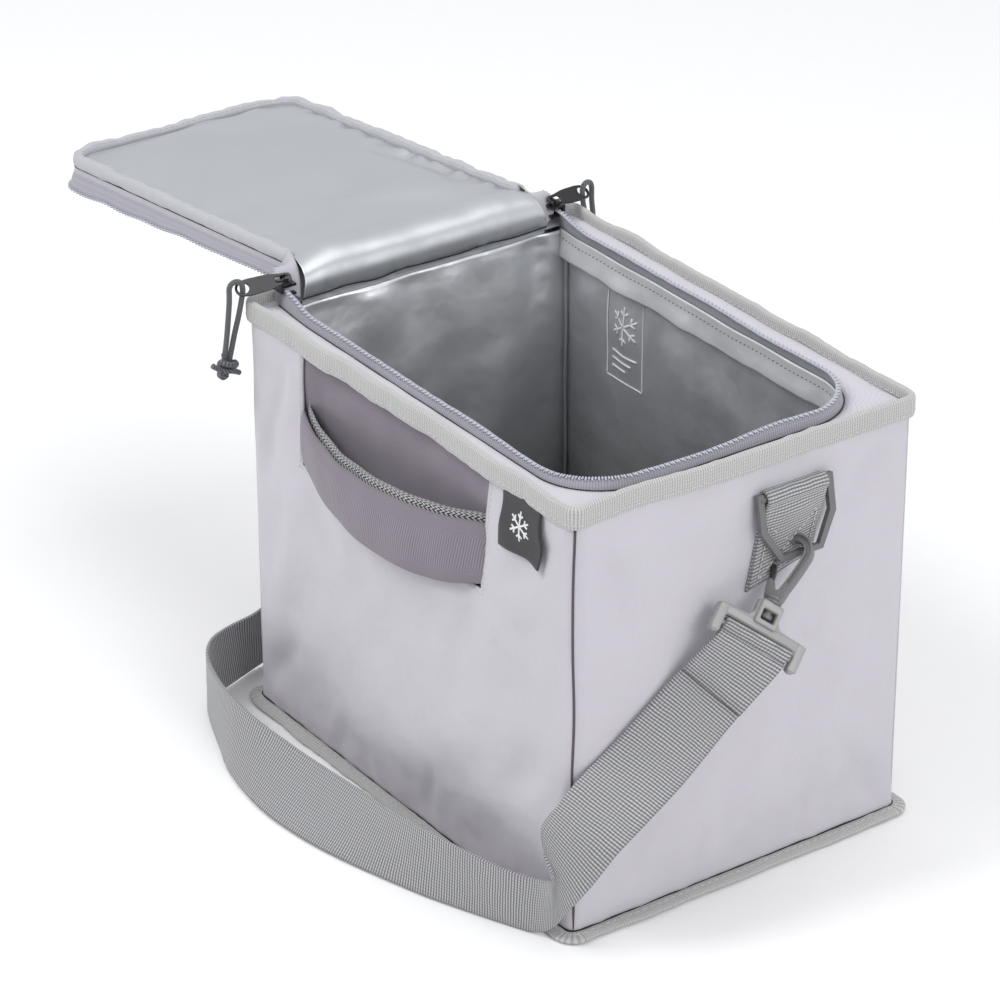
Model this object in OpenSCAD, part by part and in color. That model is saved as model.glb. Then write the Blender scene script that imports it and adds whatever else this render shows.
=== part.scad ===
// Insulated cooler bag: a foam-walled fabric box with a zipped lid folded open,
// a grab handle in each long side and a shoulder strap clipped to a D-ring at each end.
// +X points to the end that the zip runs round, -X to the end where the lid is hinged,
// -Y to the long side with the label, and +Z up. The origin is the centre of the base.

/* [Body] */
// Outside length of the box, along X
body_l = 310; // [300:1:330]
// Outside width of the box, along Y
body_w = 225; // [220:1:240]
// Height from the ground to the top of the rim binding
body_h = 260; // [256:1:270]
// Thickness of the outer fabric
skin_t = 1; // [0.8:0.1:1.2]
// Thickness of the insulating foam
foam_t = 12; // [10:1:14]
// Thickness of the foil lining
lining_t = 1; // [0.8:0.1:1.2]
// Thickness of the stiffening board in the base
board_t = 3; // [2:0.5:4]

/* [Trim] */
// Thickness of the ribbed binding tape
binding_t = 1.2; // [1:0.1:1.4]
// Height of the binding on the rim
binding_h = 12; // [10:1:14]
// How far the base binding stands out all round
flange_w = 8; // [6:1:10]
// Thickness of the base binding
flange_t = 3; // [2:0.5:4]

/* [Lid] */
// How far the open lid droops below level
lid_droop = 6; // [4:1:8]
// Length of the lid from the hinge line to its zipped edge
lid_l = 267; // [262:1:268]
// Half width of the lid's foam
lid_half_w = 81; // [78:1:82]
// Thickness of the lid's foam
lid_foam_t = 9; // [7:1:10]

/* [Handle] */
// Left edge of the hand opening
window_x0 = -97; // [-100:1:-90]
// Right edge of the hand opening
window_x1 = 79; // [70:1:82]
// Bottom edge of the hand opening
window_z0 = 179; // [176:1:184]
// How far the handle band stands out at its middle
band_bulge = 18; // [14:1:20]

/* [Strap] */
// Width of the webbing
webbing_w = 40; // [38:1:42]
// Thickness of the webbing
webbing_t = 1.6; // [1.2:0.1:1.8]
// Diameter of the zip pull cords
cord_d = 3; // [2.6:0.1:3.2]

/* [Hidden] */
$fn = 48;

half_l = body_l / 2;
half_w = body_w / 2;
// The skin ends under the top fold of the binding, and the border strip lies below it.
skin_top = body_h - binding_t;
border_t = 1;
border_top = body_h - 8;
foam_top = border_top - border_t;
// Heights of the layers in the base.
board_top = skin_t + board_t;
floor_foam_t = 10;
floor_top = board_top + floor_foam_t;
floor_lining_top = floor_top + lining_t;
// Half sizes of the space inside the skin, inside the foam and inside the lining.
in_l = half_l - skin_t;
in_w = half_w - skin_t;
foam_in_l = in_l - foam_t;
foam_in_w = in_w - foam_t;
cavity_l = foam_in_l - lining_t;
cavity_w = foam_in_w - lining_t;

// The zip runs round three sides of the opening, on a line with rounded corners.
zip_half_w = in_w - 14.5;
zip_near_x = half_l - 19;
zip_r = 24;
zip_start_x = -half_l + 4;
opening_x0 = -half_l + 11;
tape_top = body_h + 2.4;
coil_h = 2.4;
coil_top = tape_top + coil_h;

// The hinge line of the lid. The lid is drawn closed from that line, then swung open.
hinge_x = -half_l + 9;
hinge_z = body_h + 4;
lid_skin_top = -2.3;
lid_skin_bottom = lid_skin_top - skin_t;
lid_foam_bottom = lid_skin_bottom - lid_foam_t;
lid_bottom = lid_foam_bottom - lining_t;
lid_r = 12;
lid_start_x = 14;
hem_t = 1.2;

// Zip sliders and their pulls.
slider_y = zip_half_w - 4.5;
slider_l = 10;
slider_w = 9.8;
slider_plate_z = coil_top + 0.4;
slider_plate_t = 1.4;
pin_z = slider_plate_z + slider_plate_t + 2.2;
pin_r = 0.8;
tab_t = 1.2;
tab_hole_x = 24;
tab_hole_r = 3;
tab_tilt = 6;
tab_yaw_left = 255;
tab_yaw_right = 100;

// Middle line of a pull cord: distance out from the tab's hole, and height above it.
cord_route = [
    [12.6, -41], [12, -34], [11, -26], [10, -17], [9.1, -8], [8.6, -2], [8.3, 1],
    [7.2, 3.8], [4.4, 5], [1.6, 4.2], [0.3, 1.6], [0, -2], [0.6, -8], [2.2, -17],
    [4.6, -26], [7.2, -34], [9.3, -41]
];
knot_r = 5.6;
knot_at = [11, -46.7];

// Handle band: an arc in plan, from end to end of the hand opening.
band_t = 3;
band_gap = 2;
band_x0 = window_x0 + band_gap;
band_x1 = window_x1 - band_gap;
band_mid_x = (band_x0 + band_x1) / 2;
band_half = (band_x1 - band_x0) / 2;
band_pivot_y = half_w + 2;
band_pivot_z = 203;
band_r = (band_half * band_half + band_bulge * band_bulge) / (2 * band_bulge);
recess_depth = 6;

// D-ring, its webbing tab and the clip that hangs from it.
tab_y = 27;
ring_x = half_l + 5;
ring_z = 231;
ring_bar_r = 2.1;
ring_t = 3.2;
ring_tilt = 11;
ring_drop = 35;
clip_at = [166.7, 23, 197.6];
clip_turn = [51, 34, 57];
clip_swivel = -45;
far_clip_at = [166.7, 27, 197.6];
far_clip_turn = [78, 0, 90];
far_clip_swivel = -90;

// Upper and lower edge of the strap, from the near clip, round the long side, to the far clip.
strap_upper = [
    [175, -32, 170], [164, -53, 147], [159, -84, 119], [158, -109, 102], [158, -124, 90],
    [158, -134, 80], [160, -134, 66], [163, -130, 50], [148, -129, 41], [124, -137, 39],
    [84, -146, 39], [58, -149, 38], [20, -149, 34], [-15, -149, 31], [-50, -151, 30],
    [-90, -158, 36], [-120, -157, 39], [-146, -150, 39], [-161, -143, 39], [-171, -133, 40],
    [-177, -118, 40], [-180, -98, 41], [-182, -83, 47], [-183, -70, 58], [-183, -60, 72],
    [-182, -52, 92], [-180, -48, 115], [-179, -47, 137]
];
strap_lower = [
    [193, -5, 147], [189, -34, 123], [188, -63, 98], [187, -88, 80], [184, -104, 66],
    [175, -114, 45], [164, -120, 27], [152, -122, 10], [138, -125, 1.2], [119, -134, 1.2],
    [84, -149, 1.2], [58, -158, 1.2], [17, -170, 1.2], [-15, -176, 1.2], [-50, -178, 1.2],
    [-90, -172, 1.2], [-120, -161, 1.2], [-148, -150, 1.2], [-163, -142, 1.2],
    [-172, -130, 1.2], [-179, -112, 1.6], [-185, -95, 2], [-187, -68, 9], [-188, -44, 26],
    [-187, -24, 52], [-183, -12, 80], [-180, -8, 112], [-179, -7, 137]
];

// ---- Helpers ----

// A box from its lowest to its highest corner.
module block(low, high) {
    translate(low) cube(high - low);
}

// A block and its mirror image across the XZ plane.
module on_both_sides() {
    children();
    mirror([0, 1, 0]) children();
}

// The part on the far end is the near one turned half round.
module at_far_end() {
    rotate([0, 0, 180]) children();
}

// Plan of a plate that starts square at x0 and has two rounded corners at x1.
module rounded_end(x0, x1, w, r) {
    translate([x0, -w]) square([x1 - r - x0, 2 * w]);
    translate([x1 - r - 0.01, -w + r]) square([r + 0.01, 2 * (w - r)]);
    for (side = [-1, 1]) translate([x1 - r, side * (w - r)]) circle(r = r);
}

// Sweeps a profile (distance out from the line, height) round three sides.
module u_run(x0, x1, w, r) {
    on_both_sides() {
        translate([x0, w, 0]) rotate([90, 0, 90]) linear_extrude(x1 - r - x0) children();
        translate([x1 - r, w - r, 0]) rotate_extrude(angle = 90) translate([r, 0]) children();
    }
    translate([x1, w - r, 0]) rotate([90, 0, 0]) linear_extrude(2 * (w - r)) children();
}

module zip_run() {
    u_run(zip_start_x, zip_near_x, zip_half_w, zip_r) children();
}

module lid_run() {
    u_run(lid_start_x, lid_l, lid_half_w, lid_r) children();
}

// Puts a shape drawn in the closed lid's own frame in its open place.
module lid_open() {
    translate([hinge_x, 0, hinge_z]) rotate([0, -180 - lid_droop, 0]) children();
}

// Frame of a pull tab: its pin at the origin, the tab running out along X.
module at_pin(side, yaw) {
    translate([hinge_x, side * slider_y, pin_z]) rotate([0, 0, yaw]) children();
}

// Frame of the cord: the tab's hole at the origin, X still pointing out.
module at_tab_hole(side, yaw) {
    at_pin(side, yaw)
        translate([tab_hole_x * cos(tab_tilt), 0, -tab_hole_x * sin(tab_tilt)]) children();
}

module at_near_clip(swivel = 0) {
    translate(clip_at) rotate(clip_turn) rotate([0, swivel, 0]) children();
}

module at_far_clip(swivel = 0) {
    at_far_end() translate(far_clip_at) rotate(far_clip_turn) rotate([0, swivel, 0]) children();
}

// ---- Outer shell ----

module side_panel(side) {
    difference() {
        block([-half_l, in_w, skin_t], [half_l, half_w, skin_top]);
        block([window_x0, in_w - 1, window_z0], [window_x1, half_w + 1, body_h - 10]);
    }
}

module outer_panel_front() {
    color([0.78, 0.76, 0.81]) mirror([0, 1, 0]) side_panel();
}

module outer_panel_back() {
    color([0.78, 0.76, 0.81]) side_panel();
}

module end_panel() {
    block([in_l, -in_w, skin_t], [half_l, in_w, skin_top]);
}

module outer_panel_near_end() {
    color([0.78, 0.76, 0.81]) end_panel();
}

module outer_panel_hinge_end() {
    color([0.78, 0.76, 0.81]) at_far_end() end_panel();
}

module outer_base() {
    color([0.7, 0.68, 0.73]) block([-half_l, -half_w, 0], [half_l, half_w, skin_t]);
}

module base_board() {
    color([0.3, 0.3, 0.32]) block([-in_l, -in_w, skin_t], [in_l, in_w, board_top]);
}

// ---- Insulation ----

// The side foam has a pocket behind the hand opening.
module side_foam() {
    difference() {
        block([-in_l, foam_in_w, floor_top], [in_l, in_w, foam_top]);
        block([window_x0, in_w - recess_depth, window_z0 - 4], [window_x1, half_w, foam_top - 4]);
    }
}

module foam_front() {
    color([0.93, 0.93, 0.9]) mirror([0, 1, 0]) side_foam();
}

module foam_back() {
    color([0.93, 0.93, 0.9]) side_foam();
}

module end_foam() {
    block([foam_in_l, -foam_in_w, floor_top], [in_l, foam_in_w, foam_top]);
}

module foam_near_end() {
    color([0.93, 0.93, 0.9]) end_foam();
}

module foam_hinge_end() {
    color([0.93, 0.93, 0.9]) at_far_end() end_foam();
}

module foam_base() {
    color([0.93, 0.93, 0.9]) block([-in_l, -in_w, board_top], [in_l, in_w, floor_top]);
}

// ---- Foil lining ----

module side_lining() {
    block([-foam_in_l, cavity_w, floor_lining_top], [foam_in_l, foam_in_w, foam_top]);
}

module lining_front() {
    color([0.66, 0.68, 0.69]) mirror([0, 1, 0]) side_lining();
}

module lining_back() {
    color([0.66, 0.68, 0.69]) side_lining();
}

module end_lining() {
    block([cavity_l, -cavity_w, floor_lining_top], [foam_in_l, cavity_w, foam_top]);
}

module lining_near_end() {
    color([0.66, 0.68, 0.69]) end_lining();
}

module lining_hinge_end() {
    color([0.66, 0.68, 0.69]) at_far_end() end_lining();
}

module lining_base() {
    color([0.66, 0.68, 0.69])
        block([-foam_in_l, -foam_in_w, floor_top], [foam_in_l, foam_in_w, floor_lining_top]);
}

// A strip of lining hangs from the zip tape all round the opening.
module lining_flap() {
    color([0.74, 0.76, 0.77]) u_run(-cavity_l, zip_near_x, zip_half_w, zip_r)
        translate([-lining_t, foam_top - 16]) square([lining_t, 17]);
}

// Printed badge on the lining of the back wall.
module care_badge() {
    badge_t = 0.4;
    color([0.9, 0.9, 0.92]) block([-96, cavity_w - badge_t, 180], [-62, cavity_w, 232]);
}

// ---- Rim, base edge and body half of the zip ----

module rim_border() {
    color([0.77, 0.74, 0.82]) {
        difference() {
            block([-in_l, -in_w, foam_top], [in_l, in_w, border_top]);
            translate([0, 0, foam_top - 1]) linear_extrude(border_t + 2)
                rounded_end(opening_x0, zip_near_x, zip_half_w, zip_r);
        }
        difference() {
            block([-in_l, -in_w, border_top], [in_l, in_w, skin_top]);
            block([-in_l + hem_t, -in_w + hem_t, border_top - 1], [in_l - hem_t, in_w - hem_t, body_h]);
        }
    }
}

// The binding is folded over the standing edge of the skin and the border.
module rim_binding() {
    fold_l = in_l - hem_t;
    fold_w = in_w - hem_t;
    color([0.68, 0.69, 0.68]) {
        difference() {
            block([-half_l - binding_t, -half_w - binding_t, body_h - binding_h],
                  [half_l + binding_t, half_w + binding_t, body_h]);
            block([-half_l, -half_w, 0], [half_l, half_w, skin_top]);
            block([-fold_l, -fold_w, 0], [fold_l, fold_w, body_h + 1]);
        }
        difference() {
            block([-fold_l, -fold_w, border_top], [fold_l, fold_w, body_h]);
            block([-fold_l + binding_t, -fold_w + binding_t, 0],
                  [fold_l - binding_t, fold_w - binding_t, body_h + 1]);
        }
    }
}

module base_binding() {
    corner_r = 10;
    color([0.62, 0.63, 0.62]) difference() {
        linear_extrude(flange_t) {
            square([body_l + 2 * flange_w, body_w - 2 * (corner_r - flange_w)], center = true);
            square([body_l - 2 * (corner_r - flange_w), body_w + 2 * flange_w], center = true);
            for (sx = [-1, 1], sy = [-1, 1])
                translate([sx * (half_l + flange_w - corner_r), sy * (half_w + flange_w - corner_r)])
                    circle(r = corner_r);
        }
        block([-half_l, -half_w, -1], [half_l, half_w, flange_t + 1]);
    }
}

module body_zip_tape() {
    lean = 2.4;
    color([0.72, 0.71, 0.8]) zip_run()
        polygon([[-0.4, border_top], [0.4, border_top], [0.4 - lean, tape_top], [-0.4 - lean, tape_top]]);
}

module body_zip_coil() {
    color([0.75, 0.78, 0.88]) zip_run() translate([-3.6, tape_top]) square([2, coil_h]);
}

// The fabric strip that the lid turns on stands up from the border.
module lid_hinge_strip() {
    color([0.7, 0.7, 0.74])
        block([opening_x0 - 1.2, -84, border_top], [opening_x0, 84, body_h]);
}

module side_label() {
    color([0.2, 0.2, 0.22])
        block([93, -half_w - 1, 214], [128, -half_w, body_h - binding_h]);
}

// ---- Handles ----

module recess_panel() {
    depth_y = in_w - recess_depth;
    block([window_x0, depth_y, window_z0 - 4], [window_x1, depth_y + 1, foam_top - 4]);
}

module recess_panel_front() {
    color([0.5, 0.47, 0.51]) mirror([0, 1, 0]) recess_panel();
}

module recess_panel_back() {
    color([0.5, 0.47, 0.51]) recess_panel();
}

// Side view of the band: narrow where it is sewn in, deep at the middle.
module band_outline(top_z) {
    polygon([
        [band_x0, band_pivot_z - 7], [band_x0, band_pivot_z + 7],
        [band_mid_x - 50, top_z], [band_mid_x + 50, top_z],
        [band_x1, band_pivot_z + 7], [band_x1, band_pivot_z - 7],
        [band_mid_x + 45, 172], [band_mid_x - 45, 172]
    ]);
}

// One layer of the band on the +Y side, between two radii of the arc.
module band_layer(r_out, t, top_z) {
    arc_y = band_pivot_y + band_bulge - band_r;
    intersection() {
        translate([band_mid_x, arc_y, 0]) difference() {
            cylinder(r = r_out, h = body_h, $fn = 180);
            translate([0, 0, -1]) cylinder(r = r_out - t, h = body_h + 2, $fn = 180);
        }
        translate([0, band_pivot_y + 40, 0]) rotate([90, 0, 0]) linear_extrude(40)
            band_outline(top_z);
    }
}

module handle_band_front() {
    color([0.55, 0.52, 0.56]) mirror([0, 1, 0]) band_layer(band_r, band_t, 209);
}

module handle_band_back() {
    color([0.55, 0.52, 0.56]) band_layer(band_r, band_t, 209);
}

// Woven webbing behind the padded band, standing a little above it.
module handle_webbing_front() {
    color([0.6, 0.6, 0.6]) mirror([0, 1, 0]) band_layer(band_r - band_t, 2, 212);
}

module handle_webbing_back() {
    color([0.6, 0.6, 0.6]) band_layer(band_r - band_t, 2, 212);
}

// ---- D-rings, hooks, buckles and strap ----

module ring_tab() {
    loop_r = ring_x - half_l - 0.6;
    patch_z0 = 187;
    difference() {
        union() {
            block([half_l, tab_y - webbing_w / 2, patch_z0],
                  [half_l + webbing_t, tab_y + webbing_w / 2, ring_z]);
            translate([ring_x, tab_y + webbing_w / 2, ring_z]) rotate([90, 0, 0])
                cylinder(r = loop_r, h = webbing_w);
        }
        translate([ring_x, tab_y + webbing_w, ring_z]) rotate([90, 0, 0])
            cylinder(r = ring_bar_r + 0.5, h = 2 * webbing_w);
    }
}

module ring_tab_near() {
    color([0.62, 0.62, 0.63]) ring_tab();
}

module ring_tab_far() {
    color([0.62, 0.62, 0.63]) at_far_end() ring_tab();
}

module d_ring() {
    arm = 4;
    half_top = webbing_w / 2 + 5;
    half_foot = 14;
    translate([ring_x, tab_y, ring_z]) rotate([0, -ring_tilt, 0]) {
        translate([0, half_top - arm / 2, 0]) rotate([90, 0, 0])
            cylinder(r = ring_bar_r, h = 2 * half_top - arm);
        translate([-ring_t / 2, 0, 0]) rotate([90, 0, 90]) linear_extrude(ring_t) difference() {
            polygon([
                [-half_top, 3], [half_top, 3], [half_top, -18], [half_foot, -ring_drop - 1.6],
                [-half_foot, -ring_drop - 1.6], [-half_top, -18]
            ]);
            polygon([
                [-half_top + arm, 4], [half_top - arm, 4], [half_top - arm, -17],
                [half_foot - 2, -ring_drop + 1.6], [-half_foot + 2, -ring_drop + 1.6],
                [-half_top + arm, -17]
            ]);
        }
    }
}

module d_ring_near() {
    color([0.55, 0.55, 0.56]) d_ring();
}

module d_ring_far() {
    color([0.55, 0.55, 0.56]) at_far_end() d_ring();
}

// Clip frame: the hook's eye at the origin, the neck running down -Y, flat in the XY plane.
stem_r = 2.6;
head_r = 3.6;
hook_t = 3.8;
gate_at = [-5.2, -19.5];

module snap_hook() {
    translate([0, 0, -hook_t / 2]) linear_extrude(hook_t) difference() {
        hull() {
            circle(r = 10, $fn = 32);
            translate([0, -26]) circle(r = 5, $fn = 32);
        }
        hull() {
            circle(r = 6.4, $fn = 32);
            translate([0, -21.5]) circle(r = 1.6, $fn = 32);
        }
        translate([-12, -21]) square([11, 12.2]);
    }
    translate([0, -27, 0]) rotate([90, 0, 0]) cylinder(r = 5, h = 3.6);
    translate([0, -30, 0]) rotate([90, 0, 0]) cylinder(r = stem_r, h = 9);
    translate([0, -37.5, 0]) rotate([90, 0, 0]) cylinder(r = head_r, h = 2.5);
}

module snap_hook_near() {
    color([0.5, 0.5, 0.51]) at_near_clip(clip_swivel) snap_hook();
}

module snap_hook_far() {
    color([0.5, 0.5, 0.51]) at_far_clip(far_clip_swivel) snap_hook();
}

module hook_gate() {
    tip = [-7.4, -10.3];
    gate_t = 3.4;
    translate([0, 0, -gate_t / 2]) linear_extrude(gate_t) hull() {
        translate(gate_at) circle(r = 1.2, $fn = 32);
        translate(tip) circle(r = 1.1, $fn = 32);
    }
}

module hook_gate_near() {
    color([0.1, 0.1, 0.11]) at_near_clip(clip_swivel) hook_gate();
}

module hook_gate_far() {
    color([0.1, 0.1, 0.11]) at_far_clip(far_clip_swivel) hook_gate();
}

// Buckle: a barrel that the hook's stem turns in, over a slot for the webbing.
module strap_buckle() {
    frame_half = webbing_w / 2 + 5.4;
    slot_half = webbing_w / 2 + 2;
    difference() {
        union() {
            block([-6.5, -44, -5], [6.5, -31, 5]);
            block([-frame_half, -48, -2], [frame_half, -43, 2]);
            for (side = [-1, 1])
                block([min(side * slot_half, side * frame_half), -58, -2.6],
                      [max(side * slot_half, side * frame_half), -43, 2.6]);
            translate([-frame_half, -56, 0]) rotate([0, 90, 0]) cylinder(r = 1.8, h = 2 * frame_half);
        }
        translate([0, -30, 0]) rotate([90, 0, 0]) cylinder(r = stem_r + 0.08, h = 9);
        block([-4.2, -41.5, -6], [4.2, -36, 6]);
    }
}

module strap_buckle_near() {
    color([0.62, 0.62, 0.62]) at_near_clip() strap_buckle();
}

module strap_buckle_far() {
    color([0.62, 0.62, 0.62]) at_far_clip() strap_buckle();
}

// Sliding adjuster on the part of the strap behind the hinged end.
module strap_adjuster() {
    outer_y0 = -53;
    outer_z0 = 88;
    outer = [2.5, 50, 26];
    color([0.55, 0.55, 0.56]) difference() {
        translate([-187, outer_y0, outer_z0]) cube(outer);
        for (slot_z = [91.5, 103])
            translate([-190, outer_y0 + 4, slot_z]) cube([10, 42, 7.5]);
    }
}

// Corners of the strap's cross-section at one station.
function unit(v) = v / norm(v);
function strap_ring(i) =
    let (last = len(strap_upper) - 1,
         ahead = strap_upper[min(i + 1, last)] + strap_lower[min(i + 1, last)],
         behind = strap_upper[max(i - 1, 0)] + strap_lower[max(i - 1, 0)],
         n = unit(cross(strap_lower[i] - strap_upper[i], ahead - behind)) * webbing_t / 2)
    [strap_upper[i] + n, strap_upper[i] - n, strap_lower[i] - n, strap_lower[i] + n];

// Skin of a bar swept through rings of equal size, split into triangles.
function swept_faces(rings, sides) = concat(
    [[for (k = [0 : sides - 1]) k]],
    [for (i = [0 : rings - 2], k = [0 : sides - 1])
        let (a = i * sides + k, b = i * sides + (k + 1) % sides) [a, a + sides, b]],
    [for (i = [0 : rings - 2], k = [0 : sides - 1])
        let (a = i * sides + k, b = i * sides + (k + 1) % sides) [b, a + sides, b + sides]],
    [[for (k = [sides - 1 : -1 : 0]) (rings - 1) * sides + k]]
);

module shoulder_strap() {
    rings = len(strap_upper);
    color([0.58, 0.58, 0.6])
        polyhedron(points = [for (i = [0 : rings - 1]) each strap_ring(i)],
                   faces = swept_faces(rings, 4));
}

// ---- Lid, drawn closed about its hinge line ----

module lid_outer_skin() {
    color([0.74, 0.72, 0.78]) lid_open() translate([0, 0, lid_skin_bottom]) linear_extrude(skin_t)
        rounded_end(6, lid_l + 4, lid_half_w + 4, lid_r + 4);
}

module lid_foam() {
    color([0.93, 0.93, 0.9]) lid_open() translate([0, 0, lid_foam_bottom])
        linear_extrude(lid_foam_t) rounded_end(lid_start_x, lid_l, lid_half_w, lid_r);
}

module lid_lining() {
    color([0.74, 0.76, 0.78]) lid_open() translate([0, 0, lid_bottom])
        linear_extrude(lining_t) rounded_end(lid_start_x, lid_l, lid_half_w, lid_r);
}

module lid_hem() {
    color([0.72, 0.72, 0.78]) lid_open() lid_run() {
        translate([0, lid_bottom - hem_t]) square([hem_t, lid_skin_bottom - lid_bottom + hem_t]);
        translate([-6, lid_bottom - hem_t]) square([6.1, hem_t]);
    }
}

module lid_zip_tape() {
    color([0.72, 0.71, 0.8]) lid_open() lid_run() translate([1.6, lid_skin_top]) square([7.2, 0.8]);
}

module lid_zip_coil() {
    color([0.75, 0.78, 0.88]) lid_open() lid_run()
        translate([8.8, lid_skin_top + 0.7]) square([1.8, coil_h]);
}

// ---- Zip sliders, pull tabs and cords ----

module zip_slider(side, yaw) {
    low = coil_top - 4.9;
    ear_in = 2.4;
    color([0.2, 0.2, 0.21]) {
        translate([hinge_x, side * slider_y, 0]) {
            block([-slider_l / 2, -slider_w / 2, slider_plate_z],
                  [slider_l / 2, slider_w / 2, slider_plate_z + slider_plate_t]);
            block([-1.5, -0.5, low], [1.5, 0.5, slider_plate_z]);
            mirror([0, side < 0 ? 1 : 0, 0]) {
                block([-slider_l / 2, -slider_w / 2, low], [slider_l / 2, 0.5, low + 1.2]);
                block([-slider_l / 2, slider_w / 2 - 1.3, low + 2.1],
                      [slider_l / 2, slider_w / 2, slider_plate_z]);
            }
        }
        at_pin(side, yaw) {
            for (ear = [-1, 1])
                block([-1.6, min(ear * ear_in, ear * (ear_in + 1.2)), -2.5],
                      [1.6, max(ear * ear_in, ear * (ear_in + 1.2)), 1.2]);
            translate([0, ear_in + 0.6, 0]) rotate([90, 0, 0])
                cylinder(r = pin_r, h = 2 * ear_in + 1.2);
        }
    }
}

module zip_slider_left() {
    zip_slider(-1, tab_yaw_left);
}

module zip_slider_right() {
    zip_slider(1, tab_yaw_right);
}

module pull_tab(side, yaw) {
    eye_half = 2.1;
    end_r = 5.2;
    color([0.22, 0.22, 0.23]) at_pin(side, yaw) rotate([0, tab_tilt, 0]) difference() {
        union() {
            translate([0, eye_half, 0]) rotate([90, 0, 0]) cylinder(r = 1.95, h = 2 * eye_half);
            block([0, -eye_half, -tab_t / 2], [4, eye_half, tab_t / 2]);
            block([2.6, -4.6, -tab_t / 2], [tab_hole_x, 4.6, tab_t / 2]);
            translate([tab_hole_x, 0, -tab_t / 2]) cylinder(r = end_r, h = tab_t);
        }
        translate([0, 5, 0]) rotate([90, 0, 0]) cylinder(r = pin_r + 0.25, h = 10);
        translate([tab_hole_x, 0, -1]) cylinder(r = tab_hole_r, h = 2);
        translate([9, 0, -1]) cylinder(r = 2.4, h = 2);
    }
}

module pull_tab_left() {
    pull_tab(-1, tab_yaw_left);
}

module pull_tab_right() {
    pull_tab(1, tab_yaw_right);
}

// One eight-sided ring of a cord at station i of its route.
function cord_ring(i) =
    let (last = len(cord_route) - 1,
         t = unit(cord_route[min(i + 1, last)] - cord_route[max(i - 1, 0)]),
         at = cord_route[i])
    [for (k = [0 : 7])
        let (out = cord_d / 2 * cos(45 * k), along = cord_d / 2 * sin(45 * k))
        [at[0] - t[1] * out, along, at[1] + t[0] * out]];

module pull_cord(side, yaw) {
    rings = len(cord_route);
    color([0.35, 0.36, 0.38]) at_tab_hole(side, yaw)
        polyhedron(points = [for (i = [0 : rings - 1]) each cord_ring(i)],
                   faces = swept_faces(rings, 8));
}

module pull_cord_left() {
    pull_cord(-1, tab_yaw_left);
}

module pull_cord_right() {
    pull_cord(1, tab_yaw_right);
}

// The knot and its two short tails.
module cord_knot(side, yaw) {
    color([0.35, 0.36, 0.38]) at_tab_hole(side, yaw) translate([knot_at[0], 0, knot_at[1]]) {
        sphere(r = knot_r);
        for (lean = [-75, 75])
            rotate([0, 180 + lean, 0]) cylinder(r = cord_d / 2, h = 9);
    }
}

module cord_knot_left() {
    cord_knot(-1, tab_yaw_left);
}

module cord_knot_right() {
    cord_knot(1, tab_yaw_right);
}

outer_panel_front();
outer_panel_back();
outer_panel_near_end();
outer_panel_hinge_end();
outer_base();
base_board();
foam_front();
foam_back();
foam_near_end();
foam_hinge_end();
foam_base();
lining_front();
lining_back();
lining_near_end();
lining_hinge_end();
lining_base();
lining_flap();
rim_border();
rim_binding();
base_binding();
body_zip_tape();
body_zip_coil();
lid_hinge_strip();
side_label();
care_badge();
recess_panel_front();
recess_panel_back();
ring_tab_near();
ring_tab_far();
shoulder_strap();
strap_buckle_near();
strap_buckle_far();
strap_adjuster();
lid_outer_skin();
lid_foam();
lid_lining();
lid_hem();
lid_zip_tape();
lid_zip_coil();
zip_slider_left();
zip_slider_right();
pull_tab_left();
pull_tab_right();
pull_cord_left();
pull_cord_right();
cord_knot_left();
cord_knot_right();
handle_band_front();
handle_band_back();
handle_webbing_front();
handle_webbing_back();
d_ring_near();
d_ring_far();
snap_hook_near();
snap_hook_far();
hook_gate_near();
hook_gate_far();
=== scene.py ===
import math

import bmesh
import bpy
import numpy as np
from mathutils import Matrix, Vector
from mathutils.bvhtree import BVHTree


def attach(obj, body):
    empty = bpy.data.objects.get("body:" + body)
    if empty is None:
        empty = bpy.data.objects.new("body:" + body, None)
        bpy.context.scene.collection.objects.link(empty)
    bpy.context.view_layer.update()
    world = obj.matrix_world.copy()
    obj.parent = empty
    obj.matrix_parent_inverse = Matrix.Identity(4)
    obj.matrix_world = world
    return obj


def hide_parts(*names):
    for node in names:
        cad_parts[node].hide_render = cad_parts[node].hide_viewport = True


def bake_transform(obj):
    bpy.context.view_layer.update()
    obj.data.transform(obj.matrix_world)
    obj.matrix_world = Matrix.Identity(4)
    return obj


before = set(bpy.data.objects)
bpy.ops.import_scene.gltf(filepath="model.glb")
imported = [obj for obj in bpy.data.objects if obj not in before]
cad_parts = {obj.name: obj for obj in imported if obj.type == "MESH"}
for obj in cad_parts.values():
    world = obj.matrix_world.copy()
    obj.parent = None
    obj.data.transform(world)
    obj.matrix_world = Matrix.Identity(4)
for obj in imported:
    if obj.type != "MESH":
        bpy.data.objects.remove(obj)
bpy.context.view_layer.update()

MM = 0.001
REACH = 0.13
TAU = 2 * math.pi
UP = np.array([0.0, 0.0, 1.0])
SIDES = ["front", "back", "near_end", "hinge_end"]
CORNERS = ((1, -1), (1, 1), (-1, 1), (-1, -1))

# ---------------------------------------------------------------- sizes, in mm
HALF_L, HALF_W = 155.0, 112.5
HINGE = np.array([-146.0, 0.0, 264.0])
LID_TURN = 186.0
SLIDER_Y = 92.5
WINDOW_X0, WINDOW_X1, WINDOW_Z = -97.0, 79.0, 179.0


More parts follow.
